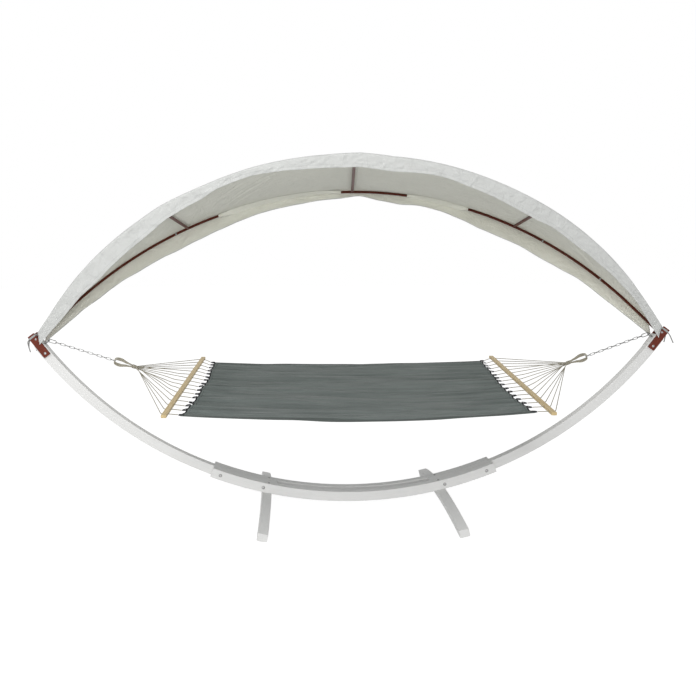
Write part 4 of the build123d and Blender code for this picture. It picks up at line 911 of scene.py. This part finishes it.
def lath_facing(word, start, end):
    """Cloth sewn in front of a stretch of the rear lath, top sheet to side strip; angles in degrees."""
    rows = []
    steps = int((end - start) * 4)
    for k in range(steps + 1):
        share = k / steps
        degrees = start + (end - start) * share
        place = degrees / LATH_BEND_DEGREES * BENT_SHARE
        column = cover_column(place)
        centre = rear_line.at(radians(degrees))
        out = (rear_line.at(radians(degrees), 0.01) - centre).normalized()
        across = Vector((0, cos(rear_line.tilt), -sin(rear_line.tilt)))
        full = ease(min(share, 1 - share) * 7)
        front = column[STRIP_ROWS + TOP_ROWS - 5] - out * 0.0020
        back = column[STRIP_ROWS + TOP_ROWS + 4] - Vector((0, 0.0020, 0))
        front = (centre + out * 0.0080 - across * 0.0066).lerp(front, full)
        back = (centre - out * 0.0076 + across * 0.0070).lerp(back, full)
        nose = centre - out * 0.0095 - across * (0.0085 + 0.0012 * noise.noise(Vector((degrees * 0.6, 0,
                                                                                       5.0))))
        row = []
        for turn in range(15):
            t = turn / 14
            soft = front.lerp(nose, t).lerp(nose.lerp(back, t), t)
            cornered = front.lerp(nose, min(1.0, 2 * t)) if t < 0.5 else nose.lerp(back, 2 * t - 1)
            crease = 0.0016 * noise.noise(Vector((degrees * 1.3, t * 3.0, 2.0))) * sin(pi * t)
            row.append(soft.lerp(cornered, 0.72) - out * (crease + 0.0004))
        rows.append(row)
    # The facing takes the inner-side cloth, whose paler colour is painted light
    facing = strip(f"lath_facing_{word}", rows, canopy_lining_painted_light, 0.0008)
    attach(facing, "stand")
    return facing


cover = make_cover()
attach(cover, "stand")
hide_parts("canopy_top", "valance_front", "valance_rear")
cover_trim = [lower_hem("front", front_line), lower_hem("rear", rear_line),
              lath_facing("left", -23.5, -2.0), lath_facing("right", 9.6, 20.5)]


# Straps and ties
def band(name, centre, one, two, half_one, half_two, width_axis, width):
    """A closed strap round a rectangular bundle, with soft corners."""
    rows = []
    for k in range(48):
        angle = 2 * pi * k / 48
        c, s = cos(angle), sin(angle)
        reach = 1 / max(abs(c) / half_one, abs(s) / half_two)
        x, y = c * reach, s * reach
        soft = 1 - 0.10 * (abs(x) / half_one * abs(y) / half_two) ** 6
        middle = centre + one * x * soft + two * y * soft
        slip = 0.0004 * sin(3 * angle)
        rows.append([middle + width_axis * (w * width + slip) for w in (-0.5, -0.2, 0.2, 0.5)])
    obj = strip(name, rows, strap_cloth, 0.0013, closed=True)
    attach(obj, "stand")
    return obj


PLATE_TURN = 0.9335
STRAP_R, STRAP_ALONG = 2.466, 0.065
TAIL_R = 0.0032
REARWARD = Vector((0, 1, 0))
# The strap ends: where each leaves the strap, and its steps outward, rearward and up
TAIL_STEPS = {1: ((-0.024, ((0.010, -0.003, -0.026), (0.014, -0.001, -0.030))),
                  (0.012, ((-0.003, 0.004, -0.028), (-0.005, 0.001, -0.030)))),
              -1: ((-0.024, ((-0.008, -0.003, -0.034), (-0.010, -0.001, -0.034))),
                   (0.012, ((0.008, 0.004, -0.020), (0.000, 0.001, -0.026))))}
for word, side in SIDES.items():
    radial = Vector((side * sin(PLATE_TURN), 0, -cos(PLATE_TURN)))
    tangent = Vector((side * cos(PLATE_TURN), 0, sin(PLATE_TURN)))
    centre = Vector((side * STRAP_R * sin(PLATE_TURN), 0, ARC_CENTRE_Z - STRAP_R * cos(PLATE_TURN)))
    centre += tangent * STRAP_ALONG
    strap = band(f"tie_strap_{word}", centre, radial, REARWARD, 0.0242, 0.0362, tangent, 0.0105)
    slanted = (tangent + radial * 0.12).normalized()
    band(f"tie_strap_over_{word}", centre + tangent * 0.002, radial, REARWARD, 0.0257, 0.0377, slanted,
         0.0085)
    deselect()
    bpy.ops.mesh.primitive_uv_sphere_add(segments=20, ring_count=12, radius=1.0)
    knot = bpy.context.active_object
    knot.name = f"tie_knot_{word}"
    place = centre + radial * 0.0300 + Vector((0, -0.010, 0))
    for vertex in knot.data.vertices:
        co = vertex.co.copy()
        lobe = 1 + 0.28 * sin(3 * atan2(co.y, co.x) + 4 * co.z) + 0.12 * noise.noise(co * 3)
        vertex.co = place + radial * co.x * 0.0052 * lobe + REARWARD * co.y * 0.0085 * lobe
        vertex.co += tangent * co.z * 0.0068 * lobe
    smooth(knot)
    knot.data.materials.append(strap_cloth)
    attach(knot, "stand")
    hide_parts(f"tie_strap_{word}")
    for number, (start_y, steps) in enumerate(TAIL_STEPS[side]):
        start = centre + radial * (0.0234 + 0.0015 + 0.0003) + Vector((0, start_y, 0))
        points = [start, start + radial * 0.018]
        for step in steps:
            points.append(points[-1] + mirrored(step, side))
        tail = curve_piece(f"tie_tail_{word}_{number + 1}", points, TAIL_R, pale_cord)
        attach(tail, "stand")
        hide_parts(f"tie_tails_{word}")

ties = []
for number, x in enumerate((-1.215, 1.325, 1.680)):
    angle = asin(x / rear_line.bend_r)
    out = (rear_line.at(angle, 0.01) - rear_line.at(angle)).normalized()
    run = (rear_line.at(angle + 0.01) - rear_line.at(angle - 0.01)).normalized()
    across = Vector((0, cos(rear_line.tilt), -sin(rear_line.tilt)))
    ties.append(band(f"cover_tie_{number + 1}", rear_line.at(angle), out, across, 0.0082, 0.0062, run, 0.009))
for tie in ties:
    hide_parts("cover_ties")


# Camera at the photograph's viewing angle
CAMERA_PLACE = Vector((-0.484671, -3.861783, 1.624478))
PHOTO_PX, FOCAL_PX = 696, 608.392
AXIS_PX_ACROSS, AXIS_PX_DOWN = 296.835, 314.193
SENSOR_MM = 36.0
CAMERA_YAW, CAMERA_PITCH, CAMERA_ROLL = 0.031784, 0.092556, -0.007126
forward = Vector((sin(CAMERA_YAW) * cos(CAMERA_PITCH), cos(CAMERA_YAW) * cos(CAMERA_PITCH),
                  -sin(CAMERA_PITCH)))
level = Vector((cos(CAMERA_YAW), -sin(CAMERA_YAW), 0.0))
upward = level.cross(forward)
right_hand = level * cos(CAMERA_ROLL) + upward * sin(CAMERA_ROLL)
upward = upward * cos(CAMERA_ROLL) - level * sin(CAMERA_ROLL)
camera_data = bpy.data.cameras.new("studio_camera")
camera_data.sensor_width = SENSOR_MM
camera_data.lens = FOCAL_PX / PHOTO_PX * SENSOR_MM
camera_data.shift_x = (PHOTO_PX / 2 - AXIS_PX_ACROSS) / PHOTO_PX
camera_data.shift_y = (AXIS_PX_DOWN - PHOTO_PX / 2) / PHOTO_PX
camera = bpy.data.objects.new("studio_camera", camera_data)
turn = Matrix((right_hand, upward, -forward)).transposed().to_4x4()
camera.matrix_world = Matrix.Translation(CAMERA_PLACE) @ turn
bpy.context.collection.objects.link(camera)
bpy.context.scene.camera = camera
bpy.context.scene.view_settings.view_transform = "Standard"


# Studio: pale floor, white surroundings, soft lamps
def looked_at(tree):
    """1 where the camera, a reflection or a clear piece looks straight at it."""
    path = tree.nodes.new("ShaderNodeLightPath")
    indirect = maths(tree, "MAXIMUM", path.outputs["Is Glossy Ray"], path.outputs["Is Transmission Ray"])
    return maths(tree, "MAXIMUM", path.outputs["Is Camera Ray"], indirect)


def either_shader(tree, sink, unseen, seen):
    """Feeds the output one shader for light alone and another where it is looked at."""
    node = add_node(tree, "ShaderNodeMixShader",
                    {0: looked_at(tree), 1: unseen.outputs[0], 2: seen.outputs[0]})
    tree.links.new(node.outputs[0], sink.inputs[0])


def studio():
    deselect()
    bpy.ops.mesh.primitive_plane_add(size=60.0, location=(0, 0, -0.0005))
    floor = bpy.context.active_object
    floor.name = "studio_floor"
    material = bpy.data.materials.new("studio_floor")
    material.use_nodes = True
    tree = material.node_tree
    tree.nodes.clear()
    out = tree.nodes.new("ShaderNodeOutputMaterial")
    matt = add_node(tree, "ShaderNodeBsdfDiffuse", {"Color": (0.80, 0.80, 0.80, 1)})
    faint = add_node(tree, "ShaderNodeBsdfDiffuse", {"Color": (0.30, 0.30, 0.30, 1)})
    glow = add_node(tree, "ShaderNodeEmission", {"Color": (1, 1, 1, 1), "Strength": 0.90})
    shown = add_node(tree, "ShaderNodeAddShader", {0: faint.outputs[0], 1: glow.outputs[0]})
    either_shader(tree, out, matt, shown)
    floor.data.materials.append(material)
    world = bpy.data.worlds.new("studio")
    bpy.context.scene.world = world
    world.use_nodes = True
    tree = world.node_tree
    tree.nodes.clear()
    out = tree.nodes.new("ShaderNodeOutputWorld")
    ambient = add_node(tree, "ShaderNodeBackground", {"Color": (1, 1, 1, 1), "Strength": 0.57})
    white = add_node(tree, "ShaderNodeBackground", {"Color": (1, 1, 1, 1), "Strength": 1.0})
    either_shader(tree, out, ambient, white)
    for name, place, aim, size, power in (("key_lamp", (-2.2, -4.6, 4.4), (0, 0, 1.0), 2.5, 120.0),
                                          ("low_lamp", (-1.0, -7.0, 0.3), (0, 0, 1.7), 2.0, 190.0)):
        data = bpy.data.lights.new(name, "AREA")
        data.size = size
        data.energy = power
        lamp = bpy.data.objects.new(name, data)
        lamp.location = place
        lamp.rotation_euler = (Vector(aim) - Vector(place)).to_track_quat("-Z", "Y").to_euler()
        bpy.context.collection.objects.link(lamp)


studio()
